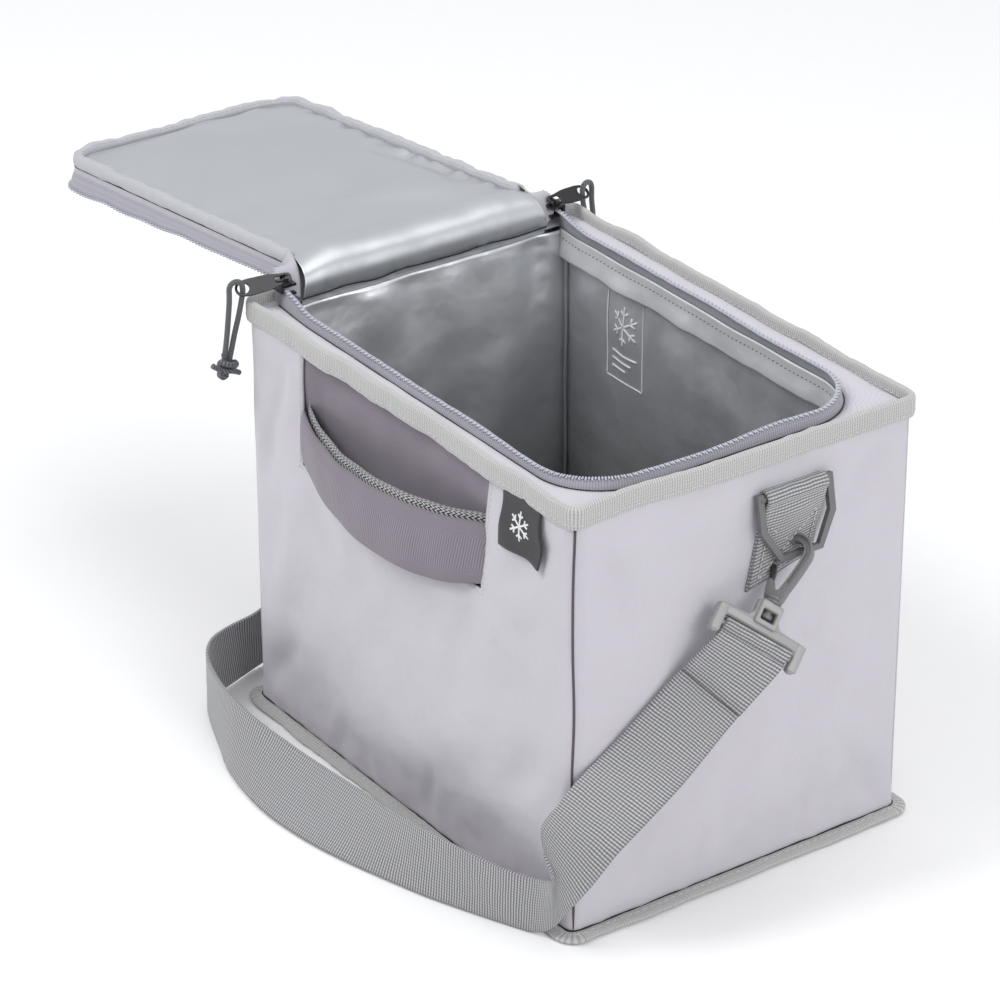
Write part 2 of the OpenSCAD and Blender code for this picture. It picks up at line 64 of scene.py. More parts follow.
# ---------------------------------------------------------------- numbers
def ripple(points, seed, length, count=8):
    """Smooth noise of about +-1 with the given wavelength, the same in every run."""
    rng = np.random.default_rng(seed)
    points = np.asarray(points, float)
    total = np.zeros(points.shape[:-1])
    for _ in range(count):
        way = rng.normal(size=points.shape[-1])
        way *= TAU / (np.linalg.norm(way) * length * rng.uniform(0.7, 1.5))
        total += np.sin(points @ way + rng.uniform(0, TAU))
    return total / math.sqrt(count)


def smooth(t):
    """Eases from 0 to 1."""
    t = np.clip(t, 0, 1)
    return t * t * (3 - 2 * t)


def bump_at(t, width):
    """A bell curve: 1 at 0, fading over the width."""
    return np.exp(-np.square(t / width))


def unit(v):
    """Vectors scaled to length 1."""
    v = np.asarray(v, float)
    return v / np.maximum(np.linalg.norm(v, axis=-1, keepdims=True), 1e-9)


def spline(points, steps):
    """Catmull-Rom curve through the points, with the given number of steps to a span."""
    p = np.asarray(points, float)
    p = np.vstack([2 * p[0] - p[1], p, 2 * p[-1] - p[-2]])
    out = []
    for i in range(1, len(p) - 2):
        for t in np.linspace(0, 1, steps, endpoint=False):
            a = 2 * p[i]
            b = p[i + 1] - p[i - 1]
            c = 2 * p[i - 1] - 5 * p[i] + 4 * p[i + 1] - p[i + 2]
            d = -p[i - 1] + 3 * p[i] - 3 * p[i + 1] + p[i + 2]
            out.append((a + b * t + c * t * t + d * t ** 3) / 2)
    return np.array(out + [p[-2]])


def lengths(path, closed=False):
    """How far along a path each of its points is."""
    path = np.asarray(path, float)
    if closed:
        path = np.vstack([path, path[:1]])
    return np.concatenate([[0], np.cumsum(np.linalg.norm(np.diff(path, axis=0), axis=1))])


def resample(path, step):
    """The same path with even steps."""
    path = np.asarray(path, float)
    s = lengths(path)
    want = np.linspace(0, s[-1], max(2, int(round(s[-1] / step)) + 1))
    return np.stack([np.interp(want, s, path[:, k]) for k in range(path.shape[1])], -1)


def tangents(path, closed=False):
    """The way a path runs at each of its points."""
    if closed:
        return unit(np.roll(path, -1, 0) - np.roll(path, 1, 0))
    return unit(np.gradient(path, axis=0))


def turn(axis, degrees):
    return np.array(Matrix.Rotation(math.radians(degrees), 3, axis))


def euler(x, y, z):
    return turn("Z", z) @ turn("Y", y) @ turn("X", x)


# ---------------------------------------------------------------- meshes
def grid(nu, nv, wrap_u=False, wrap_v=False, us=None, vs=None, skip=None):
    """Faces and UVs for nu by nv points, open or wrapped round, leaving out what skip() names."""
    us = np.arange(nu + 1) if us is None else us
    vs = np.arange(nv + 1) if vs is None else vs
    faces, uv = [], []
    for i in range(nu if wrap_u else nu - 1):
        for j in range(nv if wrap_v else nv - 1):
            if skip is not None and skip(i, j):
                continue
            i2, j2 = (i + 1) % nu, (j + 1) % nv
            faces.append((i * nv + j, i2 * nv + j, i2 * nv + j2, i * nv + j2))
            uv += [(us[i], vs[j]), (us[i + 1], vs[j]), (us[i + 1], vs[j + 1]), (us[i], vs[j + 1])]
    return faces, uv


def piece(name, verts, faces, mat, body, hides=(), uv=None, crease=None, fix=True):
    """A mesh object from points in mm, riding on a body."""
    mesh = bpy.data.meshes.new(name)
    mesh.from_pydata([tuple(v) for v in np.asarray(verts, float).reshape(-1, 3) * MM], [], faces)
    if uv is not None:
        layer = mesh.uv_layers.new(name="UVMap")
        layer.data.foreach_set("uv", np.asarray(uv, np.float32).ravel())
    obj = bpy.data.objects.new(name, mesh)
    bpy.context.scene.collection.objects.link(obj)
    if fix:
        bm = bmesh.new()
        bm.from_mesh(mesh)
        bmesh.ops.remove_doubles(bm, verts=bm.verts, dist=1e-6)
        bmesh.ops.recalc_face_normals(bm, faces=bm.faces)
        bm.to_mesh(mesh)
        bm.free()
    mesh.polygons.foreach_set("use_smooth", [True] * len(mesh.polygons))
    if crease is not None:
        mesh.set_sharp_from_angle(angle=math.radians(crease))
    if isinstance(mat, (list, tuple)):
        for m in mat:
            mesh.materials.append(m)
    else:
        mesh.materials.append(mat)
    if body:
        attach(obj, body)
    if hides:
        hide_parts(*hides)
    return obj


def onto(obj, pts, way, lift):
    """Moves points along a direction until they lie just in front of a mesh."""
    tree = BVHTree.FromPolygons([v.co for v in obj.data.vertices],
                                 [tuple(p.vertices) for p in obj.data.polygons])
    flat = np.array(pts, float).reshape(-1, 3)
    for k, p in enumerate(flat):
        hit = tree.ray_cast(Vector(p) * MM, Vector(way), REACH)[0]
        if hit is not None:
            flat[k] = np.array(hit) / MM - np.array(way) * lift
    return flat.reshape(np.shape(pts))


def shaped(name, shape, mat, body, hides=(), crease=None):
    """A piece from (points, faces, UVs)."""
    verts, faces, uv = shape
    return piece(name, verts, faces, mat, body, hides, uv, crease)


def sheet(name, pts, mat, body, slot, hides, thick, offset=0.0, fix=False, **how):
    """A thickened grid of points in mm. The other keywords go to grid()."""
    faces, uv = grid(*np.shape(pts)[:2], **how)
    return thicken(piece(name, pts, faces, mat, body, hides, uv, fix=fix), thick, offset)


def bake(obj):
    """Applies every modifier of an object to its mesh."""
    graph = bpy.context.evaluated_depsgraph_get()
    done = bpy.data.meshes.new_from_object(obj.evaluated_get(graph))
    obj.modifiers.clear()
    old = obj.data
    obj.data = done
    bpy.data.meshes.remove(old)
    return obj


def thicken(obj, mm, offset=-1.0):
    """Gives a sheet its thickness, and keeps the result as the mesh."""
    mod = obj.modifiers.new("thick", "SOLIDIFY")
    mod.thickness = mm * MM
    mod.offset = offset
    mod.use_even_offset = False
    return bake(obj)


def swept(path, side, up, profile, closed=False):
    """Points, faces and UVs of a closed profile carried along a path. The profile is (M, 2) or (N, M, 2)."""
    path = np.asarray(path, float)
    n = len(path)
    profile = np.broadcast_to(np.asarray(profile, float), (n,) + np.shape(profile)[-2:])
    m = profile.shape[1]
    side = np.broadcast_to(side, (n, 3))
    up = np.broadcast_to(up, (n, 3))
    verts = path[:, None] + profile[..., :1] * side[:, None] + profile[..., 1:] * up[:, None]
    us = lengths(path, closed)
    vs = lengths(profile[0], True)
    faces, uv = grid(n, m, wrap_u=closed, wrap_v=True, us=us, vs=vs)
    if not closed:
        for ring, u in ((0, us[0]), (n - 1, us[-1])):
            faces.append(tuple(ring * m + j for j in range(m)))
            uv += [(u, vs[j]) for j in range(m)]
    return verts.reshape(-1, 3), faces, uv


def tube_frames(path):
    """Side and up vectors that turn as little as possible along a path."""
    t = tangents(path)
    side = np.zeros_like(t)
    start = np.cross(t[0], [0, 0, 1])
    if np.linalg.norm(start) < 0.2:
        start = np.cross(t[0], [0, 1, 0])
    side[0] = unit(start)
    for i in range(1, len(t)):
        v = side[i - 1] - t[i] * (side[i - 1] @ t[i])
        side[i] = unit(v)
    return side, np.cross(t, side)


def circle(r, sides):
    a = np.arange(sides) * TAU / sides
    return np.stack([r * np.cos(a), r * np.sin(a)], -1)


def joined(parts):
    """One set of points, faces and UVs from several."""
    verts, faces, uv, base = [], [], [], 0
    for v, f, u in parts:
        v = np.asarray(v, float).reshape(-1, 3)
        verts.append(v)
        faces += [tuple(k + base for k in face) for face in f]
        uv += list(u)
        base += len(v)
    return np.vstack(verts), faces, uv


def stitch_run(path, up, length, gap, r, lift, closed=False):
    """A row of thread stitches lying on a surface: path on it, up away from it."""
    path = np.asarray(path, float)
    if closed:
        path = np.vstack([path, path[:1]])
        up = np.vstack([up, up[:1]]) if np.ndim(up) > 1 else up
    up = np.broadcast_to(up, path.shape)
    s = lengths(path)
    parts = []
    at = 0.6
    while at + length < s[-1]:
        stations = np.linspace(at, at + length, 5)
        line = np.stack([np.interp(stations, s, path[:, k]) for k in range(3)], -1)
        lean = unit(np.stack([np.interp(stations, s, up[:, k]) for k in range(3)], -1))
        along = tangents(line)
        side = unit(np.cross(along, lean))
        swell = np.array([0.35, 0.9, 1.0, 0.9, 0.35])
        profile = circle(r, 6)[None] * swell[:, None, None]
        line = line + lean * (lift + 0.15 * (swell[:, None] - 0.9))
        parts.append(swept(line, side, lean, profile))
        at += length + gap
    return joined(parts)


def loop(x0, x1, w, r_hinge, r_near, xs=None, ys=None, n_arc=6):
    """A rounded rectangle seen from above, anticlockwise from the front side's hinge end.
    Returns its points, outward normals, which side each is on and where along that side, from 0 to 1."""
    xs = np.linspace(0, 1, 80) if xs is None else xs
    ys = np.linspace(0, 1, 56) if ys is None else ys
    fx = x0 + r_hinge + (x1 - r_near - x0 - r_hinge) * xs
    near_y = -(w - r_near) + 2 * (w - r_near) * ys
    far_y = (w - r_hinge) - 2 * (w - r_hinge) * ys
    out, nrm, side, along = [], [], [], []

    def arc(cx, cy, r, a0, k):
        for a in np.radians(a0 + np.linspace(0, 90, n_arc + 2)[1:-1]):
            out.append((cx + r * math.cos(a), cy + r * math.sin(a)))
            nrm.append((math.cos(a), math.sin(a)))
            side.append(k)
            along.append(0.0)

    def run(points, normal, k, fractions):
        for point, f in zip(points, fractions):
            out.append(point)
            nrm.append(normal)
            side.append(k)
            along.append(f)

    run([(x, -w) for x in fx], (0, -1), 0, xs)
    arc(x1 - r_near, -w + r_near, r_near, -90, 4)
    run([(x1, y) for y in near_y], (1, 0), 1, ys)
    arc(x1 - r_near, w - r_near, r_near, 0, 5)
    run([(x, w) for x in fx[::-1]], (0, 1), 2, xs[::-1])
    arc(x0 + r_hinge, w - r_hinge, r_hinge, 90, 6)
    run([(x0, y) for y in far_y], (-1, 0), 3, ys)
    arc(x0 + r_hinge, -w + r_hinge, r_hinge, 180, 7)
    return np.array(out), np.array(nrm), np.array(side), np.array(along)


def u_line(x0, x1, w, r, step):
    """The zip's open line round three sides, and its outward normals."""
    front = np.stack([np.arange(x0, x1 - r, step), np.full(len(np.arange(x0, x1 - r, step)), -w)], -1)
    n = max(6, int(r * math.pi / 2 / step))
    a1 = np.radians(np.linspace(-90, 0, n + 1))
    arc1 = np.stack([x1 - r + r * np.cos(a1), -w + r + r * np.sin(a1)], -1)
    ys = np.arange(-w + r + step, w - r, step)
    end = np.stack([np.full(len(ys), x1), ys], -1)
    a2 = np.radians(np.linspace(0, 90, n + 1))
    arc2 = np.stack([x1 - r + r * np.cos(a2), w - r + r * np.sin(a2)], -1)
    back = front[::-1] * [1, -1]
    pts = np.vstack([front, arc1, end, arc2, back])
    t = tangents(pts)
    return pts, np.stack([t[:, 1], -t[:, 0]], -1)


def flat3(xy, z):
    """Points in plan, set at a height."""
    return np.column_stack([xy, np.broadcast_to(z, len(xy))])


def copies(profile, line):
    """A profile repeated for each point of a line."""
    return np.repeat(np.array(profile, float)[None], len(line), 0)


# ---------------------------------------------------------------- materials
def new(tree, kind, ins=None, **attrs):
    """A shader node, with its inputs linked or set."""
    node = tree.nodes.new("ShaderNode" + kind)
    for key, value in attrs.items():
        setattr(node, key, value)
    for key, value in (ins or {}).items():
        if isinstance(value, bpy.types.NodeSocket):
            tree.links.new(value, node.inputs[key])
        else:
            node.inputs[key].default_value = value
    return node


def calc(tree, op, a, b=0.0, c=0.0):
    return new(tree, "Math", {0: a, 1: b, 2: c}, operation=op).outputs[0]


def times(tree, a, b):
    return calc(tree, "MULTIPLY", a, b)


def plus(tree, a, b):
    return calc(tree, "ADD", a, b)


def scaled(tree, a, b, c):
    """a * b + c"""
    return calc(tree, "MULTIPLY_ADD", a, b, c)


def mixed(tree, factor, a, b):
    node = new(tree, "Mix", data_type="RGBA", blend_type="MIX")
    for socket, value in ((node.inputs[0], factor), (node.inputs[6], a), (node.inputs[7], b)):
        if isinstance(value, bpy.types.NodeSocket):
            tree.links.new(value, socket)
        else:
            socket.default_value = value if socket.type != "RGBA" or len(value) == 4 else (*value, 1)
    return node.outputs[2]


def noise(tree, vector, scale, detail=3.0, rough=0.5):
    ins = {"Vector": vector, "Scale": scale, "Detail": detail, "Roughness": rough}
    return new(tree, "TexNoise", ins).outputs[0]


def coords(tree, place, use_uv):
    """UV in mm where a piece has them, or else the object's own place in mm."""
    if use_uv:
        split = new(tree, "SeparateXYZ", {0: new(tree, "UVMap").outputs[0]})
        return split.outputs[0], split.outputs[1]
    split = new(tree, "SeparateXYZ", {0: place})
    across = plus(tree, split.outputs[0], split.outputs[1])
    return times(tree, across, 1 / MM), times(tree, split.outputs[2], 1 / MM)


def sine(tree, value, pitch):
    return scaled(tree, calc(tree, "SINE", times(tree, value, TAU / pitch)), 0.5, 0.5)


def surface(name):
    """A new material, its node tree, and the place on the object that its patterns follow."""
    mat = bpy.data.materials.new(name)
    mat.use_nodes = True
    return mat, mat.node_tree, new(mat.node_tree, "TexCoord").outputs["Object"]


def bumps(tree, height, strength, mm):
    return new(tree, "Bump", {"Height": height, "Strength": strength, "Distance": mm * MM})


def finished(mat, colour, rough, ridge, values):
    """Wires up a material's shader and sets its plain values."""
    shader = mat.node_tree.nodes["Principled BSDF"]
    for key, source in (("Base Color", colour), ("Roughness", rough), ("Normal", ridge.outputs[0])):
        mat.node_tree.links.new(source, shader.inputs[key])
    for key, value in values.items():
        shader.inputs[key].default_value = value
    return mat


def textile(name, light, dark, weave="plain", pitch=(1.2, 1.2), depth=0.12, rough=0.85, sheen=0.25,
            blotch=0.06, use_uv=True, contrast=1.0, fuzz=0.25, rumple=0.0):
    """Cloth whose weave drives both its colour and its bumps. The pitch and depths are in mm."""
    mat, tree, place = surface(name)
    u, v = coords(tree, place, use_uv)
    u = scaled(tree, noise(tree, place, 55.0, 2.0), pitch[0] * 1.2, u)
    if weave == "plain":
        a, b = sine(tree, u, pitch[0]), sine(tree, v, pitch[1])
        over = times(tree, calc(tree, "SUBTRACT", 1.0, a), calc(tree, "SUBTRACT", 1.0, b))
        height = plus(tree, times(tree, a, b), over)
    elif weave == "ribs":
        dots = scaled(tree, sine(tree, v, pitch[1]), 0.4, 0.6)
        height = times(tree, sine(tree, u, pitch[0]), dots)
    else:
        fold = v if weave == "twill" else calc(tree, "PINGPONG", v, 2.4)
        slope = plus(tree, calc(tree, "DIVIDE", u, pitch[0]), calc(tree, "DIVIDE", fold, pitch[1]))
        height = sine(tree, slope, 1.0)
    speck = noise(tree, place, 1400.0, 2.0)
    height = plus(tree, times(tree, height, 1 - fuzz), times(tree, speck, fuzz))
    shade = scaled(tree, calc(tree, "SUBTRACT", height, 0.5), contrast, 0.5)
    colour = mixed(tree, new(tree, "Clamp", {0: shade}).outputs[0], dark, light)
    big = noise(tree, place, 14.0, 3.0)
    worn = mixed(tree, times(tree, big, blotch * 2), colour, tuple(0.55 * c for c in light))
    ridge = bumps(tree, height, 0.7, depth)
    if rumple:
        soft = plus(tree, noise(tree, place, 11.0, 3.0), times(tree, noise(tree, place, 46.0, 2.0), 0.16))
        tree.links.new(bumps(tree, soft, 0.6, rumple).outputs[0], ridge.inputs["Normal"])
    return finished(mat, worn, scaled(tree, speck, 0.12, rough - 0.06), ridge,
                    {"Sheen Weight": sheen, "Sheen Roughness": 0.5, "Specular IOR Level": 0.3})


def plastic(name, light, rough=0.4, grain=0.02, coat=0.0, metal=0.0, scuff=0.05, scale=900.0):
    """Moulded plastic, or dull metal, with a fine grain."""
    mat, tree, place = surface(name)
    fine = noise(tree, place, scale, 3.0)
    big = noise(tree, place, 60.0, 4.0)
    worn = tuple(min(1, 1.4 * c + 0.02) for c in light)
    tint = mixed(tree, times(tree, big, scuff * 2), light, worn)
    return finished(mat, tint, scaled(tree, big, 0.18, rough - 0.09), bumps(tree, fine, 0.5, grain),
                    {"Coat Weight": coat, "Coat Roughness": 0.2, "Metallic": metal})


def foil(name, light, rough=0.36, metal=0.55, crumple=0.5, scale=26.0, floor_shade=0.0):
    """The satin foil film of the lining, with soft creases; where deep is set, painted shade darkens it
    towards the cavity floor.
    """
    mat, tree, place = surface(name)
    soft = noise(tree, place, scale, 3.0, 0.45)
    fine = noise(tree, place, 420.0, 2.0)
    tint = mixed(tree, soft, tuple(0.9 * c for c in light), light)
    # Painted shade: lower down, the colour is mixed towards a quarter of itself, standing in for the shade
    # inside the cavity.
    if floor_shade:
        height = new(tree, "SeparateXYZ", {0: place}).outputs["Z"]
        low = new(tree, "Clamp", {0: scaled(tree, height, -floor_shade / 0.2, floor_shade * 1.2)}).outputs[0]
        tint = mixed(tree, low, tint, tuple(0.25 * c for c in light))
    ridge = bumps(tree, plus(tree, soft, times(tree, fine, 0.015)), 0.6, crumple * 6)
    return finished(mat, tint, scaled(tree, soft, 0.16, rough - 0.08), ridge, {"Metallic": metal})


FABRIC = textile("body_fabric", (0.565, 0.545, 0.592), (0.43, 0.415, 0.455), "plain", (1.3, 1.3), 0.07,
                 rough=0.9, sheen=0.2, blotch=0.03, contrast=0.9, fuzz=0.5, rumple=13.0)
# Painted shade: the lid's copy of the body fabric is set darker, standing in for the shade on the lid's hem,
# hinge strip and gussets.
SHADED_LID_FABRIC = textile("shaded_lid_fabric", (0.46, 0.455, 0.49), (0.34, 0.335, 0.37), "plain", (1.2, 1.2), 0.07,
                     blotch=0.04, contrast=0.9, fuzz=0.4, rumple=12.0)
BINDING = textile("binding", (0.62, 0.62, 0.61), (0.25, 0.25, 0.25), "ribs", (1.5, 1.9), 0.3,
                  rough=0.9, sheen=0.25, blotch=0.1, fuzz=0.35)
ZIP_TAPE = textile("zip_tape", (0.46, 0.45, 0.50), (0.22, 0.215, 0.25), "ribs", (1.5, 2.4), 0.22,
                   rough=0.8, sheen=0.2, blotch=0.06, contrast=0.8, fuzz=0.25)
TWILL = textile("twill", (0.29, 0.26, 0.305), (0.115, 0.10, 0.125), "twill", (1.6, 1.6), 0.2,
                rough=0.9, sheen=0.2, blotch=0.05, fuzz=0.3)
BRAID = textile("braid", (0.58, 0.58, 0.59), (0.015, 0.015, 0.018), "herring", (3.4, 3.2), 0.6,
                rough=0.8, sheen=0.1, blotch=0.05, contrast=2.0, fuzz=0.15)
WEBBING = textile("webbing", (0.56, 0.56, 0.58), (0.06, 0.06, 0.064), "ribs", (1.7, 2.0), 0.4,
                  rough=0.7, sheen=0.3, blotch=0.1, contrast=1.15, fuzz=0.2)
CORD = textile("cord", (0.17, 0.175, 0.19), (0.03, 0.03, 0.035), "herring", (1.6, 1.6), 0.3,
               rough=0.75, sheen=0.2, blotch=0.05, contrast=1.3, fuzz=0.2)
LABEL = textile("label", (0.06, 0.06, 0.066), (0.03, 0.03, 0.033), "twill", (0.9, 0.9), 0.06,
                rough=0.75, sheen=0.1, blotch=0.05)
BASE_FABRIC = textile("base_fabric", (0.5, 0.49, 0.52), (0.36, 0.35, 0.38), "plain", (1.2, 1.2), 0.1,
                      use_uv=False)
THREAD = textile("thread", (0.62, 0.62, 0.61), (0.42, 0.42, 0.41), "plain", (0.6, 0.6), 0.08, use_uv=False)
DARK_THREAD = textile("dark_thread", (0.10, 0.08, 0.10), (0.05, 0.04, 0.05), "plain", (0.8, 0.8), 0.08,
                      use_uv=False)
# Painted shade: a near-black material for thin lines laid in seams and creases where shadow falls.
PAINTED_SHADE = plastic("gap", (0.02, 0.018, 0.02), 0.9, 0.01)
# The wall foil carries painted shade, darker towards the cavity floor.
FOIL = foil("foil_lining", (0.80, 0.815, 0.84), rough=0.36, metal=0.72, crumple=0.9, floor_shade=0.8)
# Painted light: the flap's copy of the lining foil is made less metallic so it reads lighter than the walls,
# as the flap catches more light.
LIT_FLAP_FOIL = foil("lit_flap_foil", (0.80, 0.81, 0.83), rough=0.36, metal=0.45, crumple=0.8)
# Painted shade: the lid's copy of the lining foil is set darker than the wall foil, standing in for the lid's
# dimmer look.
SHADED_LID_FOIL = foil("shaded_lid_foil", (0.56, 0.575, 0.60), rough=0.40, metal=0.7, crumple=0.6, scale=16.0)
COIL = plastic("zip_coil", (0.40, 0.41, 0.47), 0.35, 0.01, coat=0.1)
GREY = plastic("grey_plastic", (0.13, 0.13, 0.134), 0.42, 0.03, coat=0.05)
PALE_GREY = plastic("buckle_plastic", (0.28, 0.28, 0.278), 0.42, 0.03, coat=0.05)
BLACK = plastic("black_plastic", (0.012, 0.012, 0.013), 0.4, 0.02)
GUNMETAL = plastic("gunmetal", (0.014, 0.014, 0.016), 0.24, 0.008, coat=0.4, metal=0.4, scuff=0.01)
BADGE = plastic("badge_print", (0.72, 0.73, 0.74), 0.5, 0.01)
FLOOR = plastic("floor", (0.86, 0.86, 0.86), 0.7, 0.02, scale=200.0)


# ---------------------------------------------------------------- camera, floor and light
AZIMUTH, ELEVATION, ROLL = 54.89, 27.99, -0.18
TARGET = Vector((-0.0692, 0, 0.1337))
DISTANCE = 2.3936

azimuth, elevation, roll = (math.radians(a) for a in (AZIMUTH, ELEVATION, ROLL))
back = Vector((math.sin(azimuth) * math.cos(elevation), -math.cos(azimuth) * math.cos(elevation),
               math.sin(elevation)))
right = Vector((0, 0, 1)).cross(back).normalized()
upward = back.cross(right)
right, upward = (math.cos(roll) * right + math.sin(roll) * upward,
                 -math.sin(roll) * right + math.cos(roll) * upward)
camera = bpy.data.objects.new("camera", bpy.data.cameras.new("camera"))
bpy.context.scene.collection.objects.link(camera)
camera.data.sensor_width = 36.0
camera.data.lens = 151.2
camera.data.clip_end = 50.0
camera.matrix_world = Matrix.Translation(TARGET + back * DISTANCE) @ Matrix(
    (right, upward, back)).transposed().to_4x4()
bpy.context.scene.camera = camera
bpy.context.scene.view_settings.view_transform = "Standard"

floor_mesh = bpy.data.meshes.new("floor")
FLOOR_HALF, FLOOR_Z = 6, -0.0002
corners = [(FLOOR_HALF * x, FLOOR_HALF * y, FLOOR_Z) for x, y in ((-1, -1), (1, -1), (1, 1), (-1, 1))]
floor_mesh.from_pydata(corners, [], [(0, 1, 2, 3)])
floor_mesh.materials.append(FLOOR)
floor = bpy.data.objects.new("floor", floor_mesh)
bpy.context.scene.collection.objects.link(floor)

world = bpy.data.worlds.new("studio")
bpy.context.scene.world = world
world.use_nodes = True
sky = world.node_tree.nodes["Background"]
sky.inputs["Color"].default_value = (0.97, 0.98, 1.0, 1)
sky.inputs["Strength"].default_value = 0.7


def area_light(name, place, aim, size, watts):
    """A square light at a place, aimed at another."""
    light = bpy.data.lights.new(name, "AREA")
    light.size = size
    light.energy = watts
    obj = bpy.data.objects.new(name, light)
    bpy.context.scene.collection.objects.link(obj)
    obj.location = place
    obj.rotation_euler = (Vector(aim) - Vector(place)).to_track_quat("-Z", "Y").to_euler()


area_light("key", (-0.6, -1.6, 2.2), (0, 0, 0.1), 1.1, 34)
area_light("end_fill", (2.2, 0.2, 1.3), (0, 0, 0.12), 1.2, 22)
area_light("top", (0.1, 0.5, 2.6), (0, 0, 0.2), 1.6, 16)

# ---------------------------------------------------------------- shoulder strap and pull cords
STRAP_UPPER = [
    (175, -32, 170), (164, -53, 147), (159, -84, 119), (158, -109, 102), (158, -124, 90),
    (158, -134, 80), (160, -134, 66), (163, -130, 50), (148, -129, 41), (124, -137, 39),
    (84, -146, 39), (58, -149, 38), (20, -149, 34), (-15, -149, 31), (-50, -151, 30),
    (-90, -158, 36), (-120, -157, 39), (-146, -150, 39), (-161, -143, 39), (-171, -133, 40),
    (-177, -118, 40), (-180, -98, 41), (-182, -83, 47), (-183, -70, 58), (-183, -60, 72),
    (-182, -52, 92), (-180, -48, 115), (-179, -47, 137)]
STRAP_LOWER = [
    (193, -5, 147), (189, -34, 123), (188, -63, 98), (187, -88, 80), (184, -104, 66),
    (175, -114, 45), (164, -120, 27), (152, -122, 10), (138, -125, 1.2), (119, -134, 1.2),
    (84, -149, 1.2), (58, -158, 1.2), (17, -170, 1.2), (-15, -176, 1.2), (-50, -178, 1.2),
    (-90, -172, 1.2), (-120, -161, 1.2), (-148, -150, 1.2), (-163, -142, 1.2),
    (-172, -130, 1.2), (-179, -112, 1.6), (-185, -95, 2), (-187, -68, 9), (-188, -44, 26),
    (-187, -24, 52), (-183, -12, 80), (-180, -8, 112), (-179, -7, 137)]
WEB_W, WEB_T, WEB_COLS = 40.0, 1.7, 17

CLIP_AT, CLIP_TURN, CLIP_SWIVEL = np.array([166.7, 23, 197.6]), euler(51, 34, 57), turn("Y", -45)
FAR_AT, FAR_TURN, FAR_SWIVEL = np.array([166.7, 27, 197.6]), euler(78, 0, 90), turn("Y", -90)
HALF_TURN = turn("Z", 180)


def near_clip(p, swivelled=False):
    """From the near clip's own frame to the part's."""
    m = CLIP_TURN @ CLIP_SWIVEL if swivelled else CLIP_TURN
    return CLIP_AT + np.asarray(p, float) @ m.T


def far_clip(p, swivelled=False):
    """From the far clip's own frame to the part's."""
    m = FAR_TURN @ FAR_SWIVEL if swivelled else FAR_TURN
    return (FAR_AT + np.asarray(p, float) @ m.T) @ HALF_TURN.T


def strip_between(name, left, right, hides=()):
    """Webbing between its two selvedges, with thickness."""
    a = np.linspace(0, 1, WEB_COLS)[None, :, None]
    pts = left[:, None] * (1 - a) + right[:, None] * a
    return sheet(name, pts, WEBBING, "body", "webbing", hides, WEB_T, us=lengths((left + right) / 2),
                 vs=np.linspace(0, WEB_W, WEB_COLS))


BAR_Y, WRAP_R = -52.6, 2.9


def wrap(place, turns, x_way):
    """Webbing round a buckle's lower bar, from its front face up over the top and down the back."""
    a = np.radians(turns)
    pts = np.stack([np.zeros(len(a)), BAR_Y + WRAP_R * np.sin(a), WRAP_R * np.cos(a)], -1)
    return place(pts), np.tile(unit(place((x_way, 0, 0)) - place((0, 0, 0))), (len(a), 1))


upper, lower = np.array(STRAP_UPPER[1:-1], float), np.array(STRAP_LOWER[1:-1], float)
near_turns = [196, 172, 146, 118, 90, 62, 34, 6, -20]
near_wrap, near_way = wrap(near_clip, near_turns, 1)
far_wrap, far_way = wrap(far_clip, [-8, 18, 46, 74, 102, 130, 158, 184], -1)
far_way = far_way * np.sign(far_way[0] @ (lower - upper)[-1])
steps = 7
left_edge = spline(np.vstack([near_wrap - near_way * WEB_W / 2, upper,
                              far_wrap - far_way * WEB_W / 2]), steps)
right_edge = spline(np.vstack([near_wrap + near_way * WEB_W / 2, lower,
                               far_wrap + far_way * WEB_W / 2]), steps)


def under_layer(left, right, gap, start, end):
    """The sewn-back end of the webbing: it lies just behind the main run, between two lengths along it."""
    mid = (left + right) / 2
    s = lengths(mid)
    pick = (s >= start) & (s <= end)
    out = unit(np.cross(right - left, tangents(mid)))[pick]
    return left[pick] - out * gap, right[pick] - out * gap


tail_left, tail_right = under_layer(left_edge, right_edge, 2.2, 17.0, 52.0)
tail_length = lengths((tail_left + tail_right) / 2)[-1]
left_edge = np.vstack([tail_left[::-1], left_edge])
right_edge = np.vstack([tail_right[::-1], right_edge])
strap_line = (left_edge + right_edge) / 2
strap_way = unit(right_edge - left_edge)
strap = strip_between("shoulder_strap_webbing", left_edge, right_edge, ["shoulder_strap"])
sew_at = int(np.searchsorted(lengths(strap_line), tail_length + 44.0))

TAB_HOLE, TAB_TILT, PIN_Z = 24.0, 6.0, 268.8
TAB_YAW = {"left": 255.0, "right": 100.0}
TAB_SIDE = {"left": -1, "right": 1}
CORD_ROUTE = [
    (12.2, -41), (11.4, -34), (10.2, -26), (9.2, -17), (8.5, -8), (8.2, -2), (8.1, 1),
    (7.0, 3.6), (4.4, 4.9), (1.7, 4.1), (0.5, 1.6), (0.4, -2), (1.6, -8), (3.4, -17),
    (5.6, -26), (7.6, -34), (9.3, -41)]
CORD_D = 3.2
KNOT_AT = np.array([11.0, 0, -46.7])


def at_pin(p, side):
    """From a pull tab's own frame to the part's."""
    pin = np.array([-146.0, TAB_SIDE[side] * SLIDER_Y, PIN_Z])
    return pin + np.asarray(p, float) @ turn("Z", TAB_YAW[side]).T


def at_hole(p, side):
    """The same, but measured from the hole that the cord passes."""
    tilt = math.radians(TAB_TILT)
    offset = np.array([TAB_HOLE * math.cos(tilt), 0, -TAB_HOLE * math.sin(tilt)])
    return at_pin(np.asarray(p, float) + offset, side)


def round_tube(path, r, sides=12, swell=None):
    side, up = tube_frames(path)
    profile = circle(r, sides)
    if swell is not None:
        profile = profile[None] * swell[:, None, None]
    return swept(path, side, up, profile)


